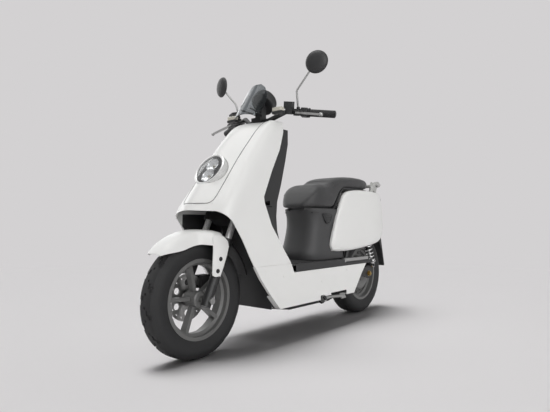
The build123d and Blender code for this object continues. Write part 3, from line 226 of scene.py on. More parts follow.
# Die-cast aluminium with a tumbled satin surface.
CAST_ALLOY = Finish("satin_cast_aluminium", "B4B4B3", 0.34, metallic=1.0, grain_mm=1.8, relief_mm=0.02,
                    mottle=0.12)
# Grey paint on the alloy grab rail: an even soft gloss.
RAIL_PAINT = Finish("light_grey_paint", "B7B7B4", 0.38, coat=0.2, grain_mm=3.0, relief_mm=0.012)
# Rolled stainless disc, cross-brushed, so that its shine is drawn out in streaks.
DISC_STEEL = Finish("brushed_stainless_steel", "9D9D9C", 0.32, metallic=1.0, grain=Grain.BRUSHED,
                    grain_mm=4.0, relief_mm=0.01, stretch=(1.0, 6.0, 1.0), mottle=0.15)
# Yellow-passivated zinc plate on the axle nuts: a warm, uneven metal.
ZINC_PLATE = Finish("yellow_zinc_plate", "B89C5C", 0.34, metallic=1.0, grain_mm=2.0, relief_mm=0.01,
                    mottle=0.2)
# Tyre compound: matte, with grey patches where it has been handled.
TYRE_RUBBER = Finish("tyre_compound", "252526", 0.72, grain_mm=1.5, relief_mm=0.04, mottle_mm=40.0,
                     mottle=0.2)
# Moulded rubber of the grips and mat: dull and even.
SOFT_RUBBER = Finish("moulded_rubber", "232324", 0.66, grain_mm=1.2, relief_mm=0.05, mottle=0.15)
# Embossed vinyl of the seat, whose cells catch soft glints. They are drawn at 2.5 mm, a little coarser
# than real ones, so that they show.
SEAT_VINYL = Finish("embossed_seat_vinyl", "363637", 0.52, grain=Grain.LEATHER, grain_mm=2.5,
                    relief_mm=0.22, mottle_mm=45.0, mottle=0.12, sheen=0.1)
# Bonded thread of the seams: dull, with a fibre's sheen.
THREAD = Finish("seat_thread", "2C2C2D", 0.8, grain_mm=0.8, relief_mm=0.08, sheen=0.3)
# Painted shade of the gap between two panels: a matte grey line without any glint, not a real strip.
SEAM_SHADE = Finish("joint_foam_strip", "6E6E6C", 0.9, grain_mm=1.0, relief_mm=0.03)
# Battery case of moulded ABS: duller than the outer panels.
CELL_CASE = Finish("battery_case_abs", "303133", 0.6, grain_mm=2.0, relief_mm=0.04)
# Hard-coated polycarbonate of the lamp's lens: clear, with a sharp glint.
CLEAR_LENS = Finish("clear_polycarbonate", "F4F6F7", 0.05, ior=1.58, clear=1.0, grain_mm=20.0,
                    relief_mm=0.002, mottle=0.01)
# Smoked acrylic of the windscreen: a thin sheet, so its low index bends what is behind it only a little.
SMOKED_SCREEN = Finish("smoked_acrylic", "7B8083", 0.06, ior=1.2, clear=0.94, grain_mm=20.0,
                       relief_mm=0.002, mottle=0.04)
# Vacuum-metallised plastic of the lamp's bowls: bright, with the plastic's slight blur.
LAMP_BOWL = Finish("metallised_reflector", "F0F0F0", 0.24, metallic=0.75, grain_mm=6.0, relief_mm=0.01,
                   mottle=0.05)
# Milky acrylic of the indicators: pale, as an unlit lens looks.
INDICATOR_LENS = Finish("milky_indicator_lens", "CFCBBE", 0.25, ior=1.49, coat=0.4, grain_mm=3.0,
                        relief_mm=0.03)
# Red acrylic of the tail lamp: deep colour under a polished skin.
RED_LENS = Finish("red_acrylic_lens", "8E1414", 0.16, ior=1.49, coat=0.5, clear=0.2, grain_mm=3.0,
                  relief_mm=0.03)
# Silvered glass of the mirrors: a sharp reflection.
MIRROR_GLASS = Finish("silvered_glass", "DADDE0", 0.03, metallic=1.0, grain_mm=30.0, relief_mm=0.001,
                      mottle=0.01)
# Black glass over the dial: nearly black, with one clean reflection.
DIAL_GLASS = Finish("black_display_glass", "0F1012", 0.07, coat=1.0, grain_mm=20.0, relief_mm=0.001)


# ---- modelling tools -----------------------------------------------------------------------
def deselect() -> None:
    """Leaves nothing selected, in object mode."""
    if bpy.context.object and bpy.context.object.mode != "OBJECT":
        bpy.ops.object.mode_set(mode="OBJECT")
    bpy.ops.object.select_all(action="DESELECT")


def activate(piece: Piece) -> None:
    """Makes one object the active one and the only one selected.

    Args:
        piece: The object.
    """
    deselect()
    piece.select_set(True)
    bpy.context.view_layer.objects.active = piece


def unit(direction: Point | Vector) -> Vector:
    """Direction of length one."""
    return Vector(direction).normalized()


def catmull(points: list[tuple] | tuple, per_span: int, closed: bool = True) -> list[Vector]:
    """Smooth run of points through the given ones.

    Args:
        points: Points to pass through.
        per_span: Points in each span.
        closed: Whether the line joins its own start.
    Returns:
        The smooth points.
    """
    knots = [Vector(p) for p in points]
    count = len(knots)
    spans = count if closed else count - 1
    line = []
    for span in range(spans):
        a, b, c, d = (knots[(span + shift) % count if closed else min(max(span + shift, 0), count - 1)]
                      for shift in (-1, 0, 1, 2))
        for step in range(per_span):
            t = step / per_span
            line.append(0.5 * (2 * b + (c - a) * t + (2 * a - 5 * b + 4 * c - d) * t * t
                               + (3 * b - a - 3 * c + d) * t ** 3))
    if not closed:
        line.append(knots[-1])
    return line


def named(piece: Piece, name: str) -> Piece:
    """Names an object and its mesh."""
    piece.name = name
    piece.data.name = name
    return piece


def close_mesh(sharp: float) -> None:
    """Welds the mesh being edited, turns its normals outwards, leaves edit mode and shades it.

    Args:
        sharp: Edges flatter than this many degrees are smooth.
    """
    bpy.ops.mesh.select_all(action="SELECT")
    bpy.ops.mesh.remove_doubles(threshold=1e-5)
    bpy.ops.mesh.normals_make_consistent(inside=False)
    bpy.ops.object.mode_set(mode="OBJECT")
    bpy.ops.object.shade_smooth_by_angle(angle=math.radians(sharp))


def spun(name: str, profile: list[tuple[float, float]], centre: Point, axis: Point,
         steps: int = 64, sharp: float = 40.0) -> Piece:
    """Turned solid: a vertex is extruded along a profile, which is then spun.

    Args:
        name: Name of the piece.
        profile: (along the axis, radius) points in metres.
        centre: Point on the axis where "along" is zero.
        axis: Direction of the axis.
        steps: Steps in the full turn.
        sharp: Edges flatter than this many degrees are smooth.
    Returns:
        The piece.
    """
    way = unit(axis)
    side = unit(way.orthogonal())
    spots = [Vector(centre) + way * along + side * radius for along, radius in profile]
    deselect()
    bpy.ops.mesh.primitive_plane_add(size=0.01, location=(0, 0, 0))
    piece = named(bpy.context.object, name)
    bpy.ops.object.mode_set(mode="EDIT")
    bpy.ops.mesh.select_all(action="SELECT")
    bpy.ops.mesh.merge(type="CENTER")
    bpy.ops.transform.translate(value=spots[0])
    for before, after in zip(spots, spots[1:]):
        bpy.ops.mesh.extrude_region_move(TRANSFORM_OT_translate={"value": after - before})
    bpy.ops.mesh.select_all(action="SELECT")
    bpy.ops.mesh.spin(steps=steps, angle=math.tau, center=centre, axis=way)
    close_mesh(sharp)
    return piece


def lofted(name: str, loops: list[list[Vector]], close_start: bool = True, close_end: bool = True,
           sharp: float = 50.0) -> Piece:
    """Skin through closed loops: a ring is extruded from loop to loop.

    Args:
        name: Name of the piece.
        loops: Loops with equal numbers of points.
        close_start: Whether the first loop is filled.
        close_end: Whether the last loop is filled.
        sharp: Edges flatter than this many degrees are smooth.
    Returns:
        The piece.
    """
    deselect()
    bpy.ops.mesh.primitive_circle_add(vertices=len(loops[0]), radius=0.1, fill_type="NOTHING",
                                      location=(0, 0, 0))
    piece = named(bpy.context.object, name)
    bpy.ops.object.mode_set(mode="EDIT")
    mesh = bmesh.from_edit_mesh(piece.data)
    mesh.verts.ensure_lookup_table()
    ring = list(mesh.verts)
    for vertex, spot in zip(ring, loops[0]):
        vertex.co = spot
    if close_start:
        bpy.ops.mesh.select_all(action="SELECT")
        bpy.ops.mesh.edge_face_add()
        bpy.ops.mesh.select_all(action="DESELECT")
        mesh = bmesh.from_edit_mesh(piece.data)
        for edge in mesh.edges:
            edge.select = True
        bpy.ops.mesh.select_mode(type="EDGE")
    for loop in loops[1:]:
        order = {vertex.index: number for number, vertex in enumerate(ring)}
        bpy.ops.mesh.extrude_edges_move(TRANSFORM_OT_translate={"value": (0, 0, 0)})
        mesh = bmesh.from_edit_mesh(piece.data)
        mesh.verts.ensure_lookup_table()
        fresh = {}
        for vertex in mesh.verts:
            if vertex.select:
                ends = [edge.other_vert(vertex) for edge in vertex.link_edges]
                old = [end for end in ends if end.index in order and not end.select]
                fresh[order[old[0].index]] = vertex
        ring = [fresh[number] for number in range(len(loop))]
        for vertex, spot in zip(ring, loop):
            vertex.co = spot
    if close_end:
        bpy.ops.mesh.edge_face_add()
    bpy.ops.mesh.select_mode(type="VERT")
    close_mesh(sharp)
    return piece


def plate(name: str, rim: list[Vector], steps: tuple, origin: Point = (0.0, 0.0, 0.0),
          sharp: float = 50.0) -> Piece:
    """Upright plate across X with eased edges.

    Args:
        name: Name of the piece.
        rim: Its outline, with an X of zero.
        steps: X and the outline's scale about its own middle, layer by layer.
        origin: Point that the outline is measured from.
        sharp: Edges flatter than this many degrees are smooth.
    Returns:
        The piece.
    """
    middle = sum(rim, Vector()) / len(rim)
    loops = [[Vector(origin) + Vector((x, 0, 0)) + middle + (spot - middle) * share for spot in rim]
             for x, share in steps]
    return lofted(name, loops, sharp=sharp)


def bent_rod(name: str, points: list[Point], radius: float) -> Piece:
    """Round rod or bead along a smooth open line, as a mesh.

    Args:
        name: Name of the piece.
        points: Points of the line.
        radius: Radius of the rod.
    Returns:
        The piece.
    """
    deselect()
    bpy.ops.curve.primitive_nurbs_path_add(location=(0, 0, 0))
    curve = bpy.context.object
    curve.data.splines.clear()
    spline = curve.data.splines.new("NURBS")
    spline.points.add(len(points) - 1)
    for knot, spot in zip(spline.points, points):
        knot.co = (*spot, 1.0)
    spline.order_u = 3
    spline.use_endpoint_u = True
    curve.data.bevel_depth = radius
    curve.data.bevel_resolution = 3
    curve.data.resolution_u = 8
    curve.data.use_fill_caps = True
    activate(curve)
    bpy.ops.object.convert(target="MESH")
    piece = named(bpy.context.object, name)
    bpy.ops.object.shade_smooth_by_angle(angle=math.radians(50))
    return piece


def with_modifier(piece: Piece, kind: str, **settings: object) -> Piece:
    """Adds one modifier and applies it.

    Args:
        piece: Piece to change.
        kind: Modifier type.
        settings: Modifier properties.
    Returns:
        The piece.
    """
    activate(piece)
    modifier = piece.modifiers.new(kind.lower(), kind)
    for name, value in settings.items():
        setattr(modifier, name, value)
    bpy.ops.object.modifier_apply(modifier=modifier.name)
    return piece


def rounded_box(name: str, centre: Point, size: Point, bevel: float, turn: float = 0.0) -> Piece:
    """Box with rounded edges.

    Args:
        name: Name of the piece.
        centre: Its middle.
        size: Its size along X, Y and Z.
        bevel: Radius of the edges.
        turn: Turn about X in degrees.
    Returns:
        The piece.
    """
    deselect()
    bpy.ops.mesh.primitive_cube_add(size=1.0, location=(0, 0, 0))
    piece = named(bpy.context.object, name)
    piece.scale = size
    bpy.ops.object.transform_apply(location=False, rotation=False, scale=True)
    with_modifier(piece, "BEVEL", width=bevel, segments=4)
    piece.rotation_euler.x = math.radians(turn)
    piece.location = centre
    bpy.ops.object.transform_apply(location=True, rotation=True, scale=False)
    bpy.ops.object.shade_smooth_by_angle(angle=math.radians(50))
    return piece


def mirrored(piece: Piece, name: str) -> Piece:
    """Copy of a piece on the scooter's other side, with its own mesh.

    Args:
        piece: Piece to copy.
        name: Name of the copy.
    Returns:
        The copy.
    """
    activate(piece)
    bpy.ops.object.duplicate()
    twin = named(bpy.context.object, name)
    twin.scale.x = -1
    bpy.ops.object.transform_apply(location=False, rotation=False, scale=True)
    bpy.ops.object.mode_set(mode="EDIT")
    bpy.ops.mesh.select_all(action="SELECT")
    bpy.ops.mesh.normals_make_consistent(inside=False)
    bpy.ops.object.mode_set(mode="OBJECT")
    return twin


def settle(piece: Piece, finish: Finish, slot: str, body: str, *nodes: str) -> Piece:
    """Dresses a finished piece and ties it to its body.

    Args:
        piece: The piece.
        finish: Its finish.
        slot: The record's material slot; not used.
        body: Body that it rides on.
        nodes: Nodes that it stands for.
    Returns:
        The piece.
    """
    finish.dress(piece)
    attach(piece, body)
    if nodes:
        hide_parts(*nodes)
    LOG.info("made %s on %s", piece.name, body)
    return piece


def settle_pair(left: Piece, finish: Finish, slot: str, body: str,
                *nodes: str) -> tuple[Piece, Piece]:
    """Mirrors a left piece and settles both.

    Args:
        left: The left piece.
        finish: Their finish.
        slot: The record's material slot.
        body: Body that the left piece rides on.
        nodes: Nodes that the left piece stands for. The right one stands for those that name a side.
    Returns:
        The left and the right piece.
    """
    right = mirrored(left, left.name.replace("left", "right"))
    settle(left, finish, slot, body, *nodes)
    settle(right, finish, slot, body.replace("left", "right"),
           *(node.replace("left", "right") for node in nodes if "left" in node))
    return left, right


# ---- sub-assemblies ------------------------------------------------------------------------
@dataclass
class CarriedNodes:
    """Frame nodes whose shape stays and which get a finer finish."""

    nodes: dict

    def dress(self) -> None:
        """Dresses every node by its finish."""
        finishes = {
            WHITE_PAINT: "front_cover leg_shield left_side_skirt right_side_skirt left_rear_panel"
                         " right_rear_panel front_fender panel_bolts",
            DARK_ABS: "knee_panel wheel_liner belly_pan floorboard storage_tub tail_light rear_mudguard"
                      " switch_pods instrument_pod ignition_lock ignition_knob seat_pan left_mirror"
                      " right_mirror horn_button turn_switch start_button master_cylinders",
            GREY_SHELL: "seat_base",
            POWDER_COAT: "frame steering_stem swingarm handlebar shock_bodies fork_lowers front_caliper",
            SOFT_RUBBER: "floor_mat left_grip throttle_grip",
            CELL_CASE: "battery",
            RAIL_PAINT: "grab_rail",
            LAMP_BOWL: "headlight_housing",
            CLEAR_LENS: "headlight_lens",
            DISC_STEEL: "front_disc front_axle",
            CAST_ALLOY: "side_stand left_footrest right_footrest left_brake_lever right_brake_lever",
            CHROME: "shock_rods shock_springs",
            SATIN_CHROME: "fork_stanchions",
            INDICATOR_LENS: "front_indicators",
            SMOKED_SCREEN: "windscreen",
            ZINC_PLATE: "rear_axle",
            TYRE_RUBBER: "front_tyre rear_tyre",
            RIM_PAINT: "front_rim rear_rim hub_motor",
            SEAT_VINYL: "seat_cushion",
        }
        for finish, names in finishes.items():
            for name in names.split():
                finish.dress(self.nodes[name])
        LOG.info("dressed %d frame nodes", len(self.nodes))


@dataclass
class Tyre:
    """Tyre with a rounded carcass and cut tread."""

    name: str
    node: str
    body: str
    axle: Point
    radius: float
    half_width: float
    contact_half: float
    rim_half: float
    flange_radius: float = 0.159
    shoulder_drop: float = 0.024
    blocks: int = 60
    # how far the tread reaches in from the crown, and the grooves' rim, sloping wall and depth
    tread_height: float = 0.009
    groove_rim: float = 0.0016
    groove_wall: float = 0.0006
    groove: float = 0.0035

    def build(self) -> None:
        """Spins the carcass, then insets and sinks the tread grooves."""
        crown = self.radius
        half = self.half_width
        shoulder = crown - self.shoulder_drop
        flange, rim, contact = self.flange_radius, self.rim_half, self.contact_half
        left = [
            (rim, flange - 0.004), (rim + 0.004, flange + 0.004), (half - 0.004, flange + 0.02),
            (half, flange + 0.036), (half - 0.001, shoulder - 0.004), (half - 0.005, shoulder + 0.006),
            (half - 0.013, crown - 0.0085), ((half + contact) / 2 - 0.002, crown - 0.0035), (contact, crown),
            (contact / 3, crown),
        ]
        inner = [(rim - 0.01, flange - 0.001), (0.0, flange + 0.02), (-rim + 0.01, flange - 0.001)]
        right = [(-along, radius) for along, radius in left]
        profile = right + left[::-1] + inner + right[:1]
        piece = spun(self.name, profile, self.axle, (1, 0, 0), steps=self.blocks * 2, sharp=35)
        self.cut_tread(piece)
        settle(piece, TYRE_RUBBER, "tyre", self.body, self.node)

    def cut_tread(self, piece: Piece) -> None:
        """Sinks slanted grooves across the tread, in turn left and right.

        Args:
            piece: The smooth tyre.
        """
        activate(piece)
        bpy.ops.object.mode_set(mode="EDIT")
        bpy.ops.mesh.select_mode(type="FACE")
        bpy.ops.mesh.select_all(action="DESELECT")
        mesh = bmesh.from_edit_mesh(piece.data)
        slots = self.blocks * 2
        for face in mesh.faces:
            spot = face.calc_center_median() - Vector(self.axle)
            if math.hypot(spot.y, spot.z) < self.radius - self.tread_height:
                continue
            number = int((math.atan2(spot.z, spot.y) + math.pi) / math.tau * slots)
            lane = abs(spot.x) / self.half_width
            if abs(spot.x) < self.contact_half / 3:
                face.select = number % 4 == 0
            else:
                # A groove is two slots in eight. It slants, as it starts later in each lane outwards, and
                # the right side's lie half way between the left's.
                start = int(lane * 4) - (0 if spot.x > 0 else 4)
                face.select = (number - start) % 8 in (0, 1) and lane < 0.97
        bpy.ops.mesh.inset(thickness=self.groove_rim, depth=0.0)
        bpy.ops.mesh.inset(thickness=self.groove_wall, depth=-self.groove)
        bpy.ops.mesh.select_mode(type="VERT")
        bpy.ops.object.mode_set(mode="OBJECT")
        bpy.ops.object.shade_smooth_by_angle(angle=math.radians(35))


@dataclass
class SeatCushion:
    """Two-level padded seat with a welt round its edge and a seam at the step."""

    name: str = "seat_cushion_padded"
    voxel: float = 0.006
    pressure: float = 3.0
    cap: float = 0.006
    points: int = 32
    frames: int = 20
    seam_radius: float = 0.0016
    # the step's seam: half length, y, how far its ends lie forward, z
    step: tuple = (0.118, 0.222, 0.018, 0.764)
    # y, half width, lowest z, highest z of each cross-section
    stations: tuple = (
        (-0.020, 0.048, 0.6135, 0.626), (-0.010, 0.066, 0.6130, 0.640), (0.008, 0.086, 0.6130, 0.664),
        (0.030, 0.100, 0.6130, 0.692), (0.052, 0.108, 0.6130, 0.714), (0.075, 0.113, 0.6130, 0.727),
        (0.110, 0.117, 0.6130, 0.734), (0.160, 0.118, 0.6140, 0.738), (0.192, 0.118, 0.620, 0.745),
        (0.214, 0.118, 0.645, 0.756), (0.238, 0.118, 0.676, 0.768), (0.262, 0.118, 0.708, 0.775),
        (0.290, 0.118, 0.725, 0.783), (0.330, 0.118, 0.731, 0.788), (0.390, 0.118, 0.732, 0.793),
        (0.450, 0.116, 0.732, 0.796), (0.520, 0.110, 0.733, 0.796), (0.580, 0.097, 0.735, 0.792),
        (0.618, 0.084, 0.738, 0.785), (0.640, 0.072, 0.741, 0.776), (0.650, 0.060, 0.748, 0.766),
    )

    def section(self, y: float, half: float, low: float, high: float) -> list[Vector]:
        """Rounded cross-section with a crowned top and upright sides.

        Args:
            y: Distance along the scooter.
            half: Half width.
            low: Lowest height.
            high: Highest height.
        Returns:
            Points of the loop.
        """
        loop = []
        middle, reach = (low + high) / 2, (high - low) / 2
        for number in range(self.points):
            angle = math.tau * number / self.points
            cosine, sine = math.cos(angle), math.sin(angle)
            x = half * math.copysign(abs(cosine) ** 0.34, cosine)
            z = middle + reach * math.copysign(abs(sine) ** (0.42 if sine > 0 else 0.22), sine)
            loop.append(Vector((x, y, z)))
        return loop

    def build(self) -> None:
        """Lofts the foam, swells it as stuffed cloth, then adds the welt and seams."""
        loops = [self.section(*station) for station in self.stations]
        pad = lofted(self.name, loops)
        with_modifier(pad, "REMESH", mode="VOXEL", voxel_size=self.voxel)
        self.swell(pad)
        with_modifier(pad, "CORRECTIVE_SMOOTH", factor=0.5, iterations=6, use_only_smooth=True)
        with_modifier(pad, "SUBSURF", levels=1, render_levels=1)
        bpy.ops.object.shade_smooth()
        settle(pad, SEAT_VINYL, "seat_cloth", "seat", "seat_cushion")
        self.seams(pad)

    def seams(self, pad: Piece) -> None:
        """Lays a welt along each upper edge and a seam across the step.

        Args:
            pad: Finished pad.
        """
        side = [(half - 0.004, y, high - 0.013) for y, half, low, high in self.stations[3:-1]]
        half, middle, bow, height = self.step
        step = [(share * half, middle - bow * share * share, height)
                for share in (-0.98, -0.85, -0.6, -0.3, 0.0, 0.3, 0.6, 0.85, 0.98)]
        lines = {"seat_welt_left": side, "seat_welt_right": [(-x, y, z) for x, y, z in side],
                 "seat_step_seam": step}
        for name, line in lines.items():
            laid = [tuple(pad.closest_point_on_mesh(Vector(spot))[1]) for spot in line]
            settle(bent_rod(name, laid, self.seam_radius), THREAD, "seat_cloth", "seat")

    def swell(self, pad: Piece) -> None:
        """Swells the pad with cloth pressure, no point moving further than the cap.

        Args:
            pad: Remeshed pad.
        """
        start = [vertex.co.copy() for vertex in pad.data.vertices]
        cloth = pad.modifiers.new("cloth", "CLOTH")
        cloth.settings.quality = 4
        cloth.settings.use_pressure = True
        cloth.settings.uniform_pressure_force = self.pressure
        cloth.settings.effector_weights.gravity = 0
        cloth.settings.tension_stiffness = 60
        cloth.settings.compression_stiffness = 60
        cloth.settings.bending_stiffness = 10
        cloth.point_cache.frame_start = 1
        cloth.point_cache.frame_end = self.frames
        for number in range(1, self.frames + 1):
            bpy.context.scene.frame_set(number)
        activate(pad)
        bpy.ops.object.modifier_apply(modifier="cloth")
        bpy.context.scene.frame_set(1)
        for vertex, old in zip(pad.data.vertices, start):
            moved = vertex.co - old
            if moved.length > self.cap:
                vertex.co = old + moved * (self.cap / moved.length)


@dataclass
class RearPanel:
    """White side panel of the tail: a crowned shell that wraps round behind."""

    # y, z round the panel, and then y, half width of the tail in plan
    outline: tuple = (
        (0.292, 0.702), (0.238, 0.642), (0.194, 0.558), (0.147, 0.446), (0.150, 0.402), (0.190, 0.387),
        (0.296, 0.385), (0.410, 0.391), (0.519, 0.401), (0.640, 0.416), (0.740, 0.438), (0.806, 0.474),
        (0.832, 0.530), (0.794, 0.638), (0.722, 0.708), (0.640, 0.722), (0.553, 0.724), (0.410, 0.722),
    )
    plan: tuple = ((0.10, 0.150), (0.56, 0.150), (0.68, 0.142), (0.78, 0.114), (0.85, 0.070))
    # rise outwards and the outline's scale about its middle; the first ring is the lip's inner edge
    rings: tuple = ((0.0, 1.0), (0.0, 1.0), (0.003, 0.985), (0.008, 0.955), (0.0125, 0.90), (0.016, 0.80),
                    (0.0185, 0.62), (0.0195, 0.38), (0.020, 0.15))
    middle: Point = (0.470, 0.560, 0.0)
    crown: float = 0.020
    lip: float = 0.012

    def reach(self, y: float) -> float:
        """Half width of the tail at a distance along the scooter.

        Args:
            y: Distance along the scooter.
        Returns:
            Half width there.
        """
        for (y_low, x_low), (y_high, x_high) in zip(self.plan, self.plan[1:]):
            if y <= y_high:
                share = max(0.0, (y - y_low) / (y_high - y_low))
                return x_low + (x_high - x_low) * share
        return self.plan[-1][1]

    def build(self) -> None:
        """Lofts the left panel from its rolled rim to its crown, and mirrors it."""
        rim = catmull([(y, z, 0.0) for y, z in self.outline], 5)
        centre = Vector(self.middle)
        loops = []
        for number, (rise, share) in enumerate(self.rings):
            inset = self.lip if number == 0 else 0.0
            spots = [centre + (spot - centre) * share for spot in rim]
            loops.append([Vector((self.reach(at.x) - self.crown + rise - inset, at.x, at.y)) for at in spots])
        left = lofted("left_rear_panel_crowned", loops, close_start=False)
        left = with_modifier(left, "SUBSURF", levels=1, render_levels=1)
        settle_pair(left, WHITE_PAINT, "white_panel", "chassis", "left_rear_panel")


@dataclass
class Headlight:
    """Round lamp: bright outer ring, dark ring, two overlapping bowls and a clear lens."""

    centre: Point = (0.0, -0.589, 0.753)
    tilt: float = 31.0
    # the two bowls: distance of each from the lamp's middle, and how far back they sit
    bowl_offset: float = 0.026
    bowl_back: float = 0.002

    def build(self) -> None:
        """Turns the rings and bowls about the lamp's axis."""
        tilt = math.radians(self.tilt)
        way = Vector((0, -math.cos(tilt), math.sin(tilt)))
        up = Vector((0, math.sin(tilt), math.cos(tilt)))
        outer = [(-0.040, 0.0755), (0.0, 0.0775), (0.004, 0.0775), (0.0065, 0.0745), (0.0065, 0.0700),
                 (0.0045, 0.0672), (-0.003, 0.0668), (-0.040, 0.0668), (-0.040, 0.0755)]
        settle(spun("headlight_bright_ring", outer, self.centre, way), SATIN_CHROME, "lamp_bowl", "chassis",
               "headlight_housing")
        dish = [(-0.0220, 0.0), (-0.0220, 0.030), (-0.0190, 0.048), (-0.0100, 0.0600), (0.0005, 0.0645),
                (0.0020, 0.0658), (0.0005, 0.0666), (-0.0260, 0.0666), (-0.0300, 0.0), (-0.0220, 0.0)]
        settle(spun("headlight_dark_dish", dish, self.centre, way), DARK_ABS, "dark_panel", "chassis")
        bowl = [(-0.0150, 0.0), (-0.0135, 0.0120), (-0.0080, 0.0230), (-0.0010, 0.0300), (0.0005, 0.0315),
                (-0.0010, 0.0325), (-0.0100, 0.0300), (-0.0175, 0.0170), (-0.0195, 0.0), (-0.0150, 0.0)]
        for number, shift in enumerate((-self.bowl_offset, self.bowl_offset)):
            spot = Vector(self.centre) + up * shift - way * self.bowl_back
            turned = spun(f"headlight_bowl_{number + 1}", bowl, spot, way, 48)
            settle(turned, LAMP_BOWL, "lamp_bowl", "chassis")
            bulb = [(-0.0150, 0.0), (-0.0150, 0.0060), (-0.0095, 0.0066), (-0.0060, 0.0046), (-0.0050, 0.0)]
            settle(spun(f"headlight_led_{number + 1}", bulb, spot, way, 32), INDICATOR_LENS, "indicator_lens",
                   "chassis")
        lens = [(0.0060, 0.0), (0.0056, 0.030), (0.0044, 0.052), (0.0030, 0.0655), (0.0010, 0.0655),
                (0.0024, 0.052), (0.0036, 0.030), (0.0040, 0.0), (0.0060, 0.0)]
        settle(spun("headlight_clear_lens", lens, self.centre, way), CLEAR_LENS, "lamp_lens", "chassis",
               "headlight_lens")


@dataclass
class CoverSeamShade:
    """Painted shade of the gap round the front cover: a darker grey line laid on its skin."""

    cover: Piece
    # x, y, z down the left edge and round the lower corner to the middle
    knots: tuple = (
        (0.0892, -0.336, 0.980), (0.0892, -0.394, 0.943), (0.0892, -0.470, 0.856), (0.0892, -0.550, 0.754),
        (0.0892, -0.618, 0.661), (0.0885, -0.634, 0.636), (0.0850, -0.646, 0.620), (0.0760, -0.658, 0.6115),
        (0.0620, -0.672, 0.6095), (0.0300, -0.692, 0.6092), (0.0, -0.697, 0.6092),
    )
    radius: float = 0.0015
    # Seen from ahead and above, the first skin met is the outer one.
    ahead: Point = (0.0, -0.06, 0.03)
    look: Point = (0.0, 0.894, -0.447)

    def build(self) -> None:
        """Lays one half, snapped to the cover, and mirrors it."""
        laid = []
        for spot in catmull(self.knots, 4, closed=False):
            hit, place, _, _ = self.cover.ray_cast(spot + Vector(self.ahead), Vector(self.look))
            laid.append(tuple(place if hit else spot))
        # The rod is painted shade: a grey line drawn where the gap between the panels lies in shade.
        settle_pair(bent_rod("cover_seam_left", laid, self.radius), SEAM_SHADE, "dark_panel", "chassis")


@dataclass
class ArchLining:
    """Dark lining on the inside of the shield's two sides, above the wheel arch."""

    # y, z round the plate, and then its x and scale, layer by layer
    outline: tuple = ((-0.600, 0.601), (-0.600, 0.519), (-0.566, 0.474), (-0.521, 0.404), (-0.493, 0.357),
                      (-0.362, 0.357), (-0.362, 0.601))
    layers: tuple = ((0.1588, 0.99), (0.1590, 1.0), (0.1597, 1.0), (0.1600, 0.99))

    def build(self) -> None:
        """Lofts the left plate with eased edges and mirrors it."""
        rim = []
        for start, end in zip(self.outline, self.outline[1:] + self.outline[:1]):
            rim += [Vector((0, *start)).lerp(Vector((0, *end)), step / 4) for step in range(4)]
        left = plate("arch_lining_left", rim, self.layers, sharp=30)
        settle_pair(left, DARK_ABS, "dark_panel", "chassis")


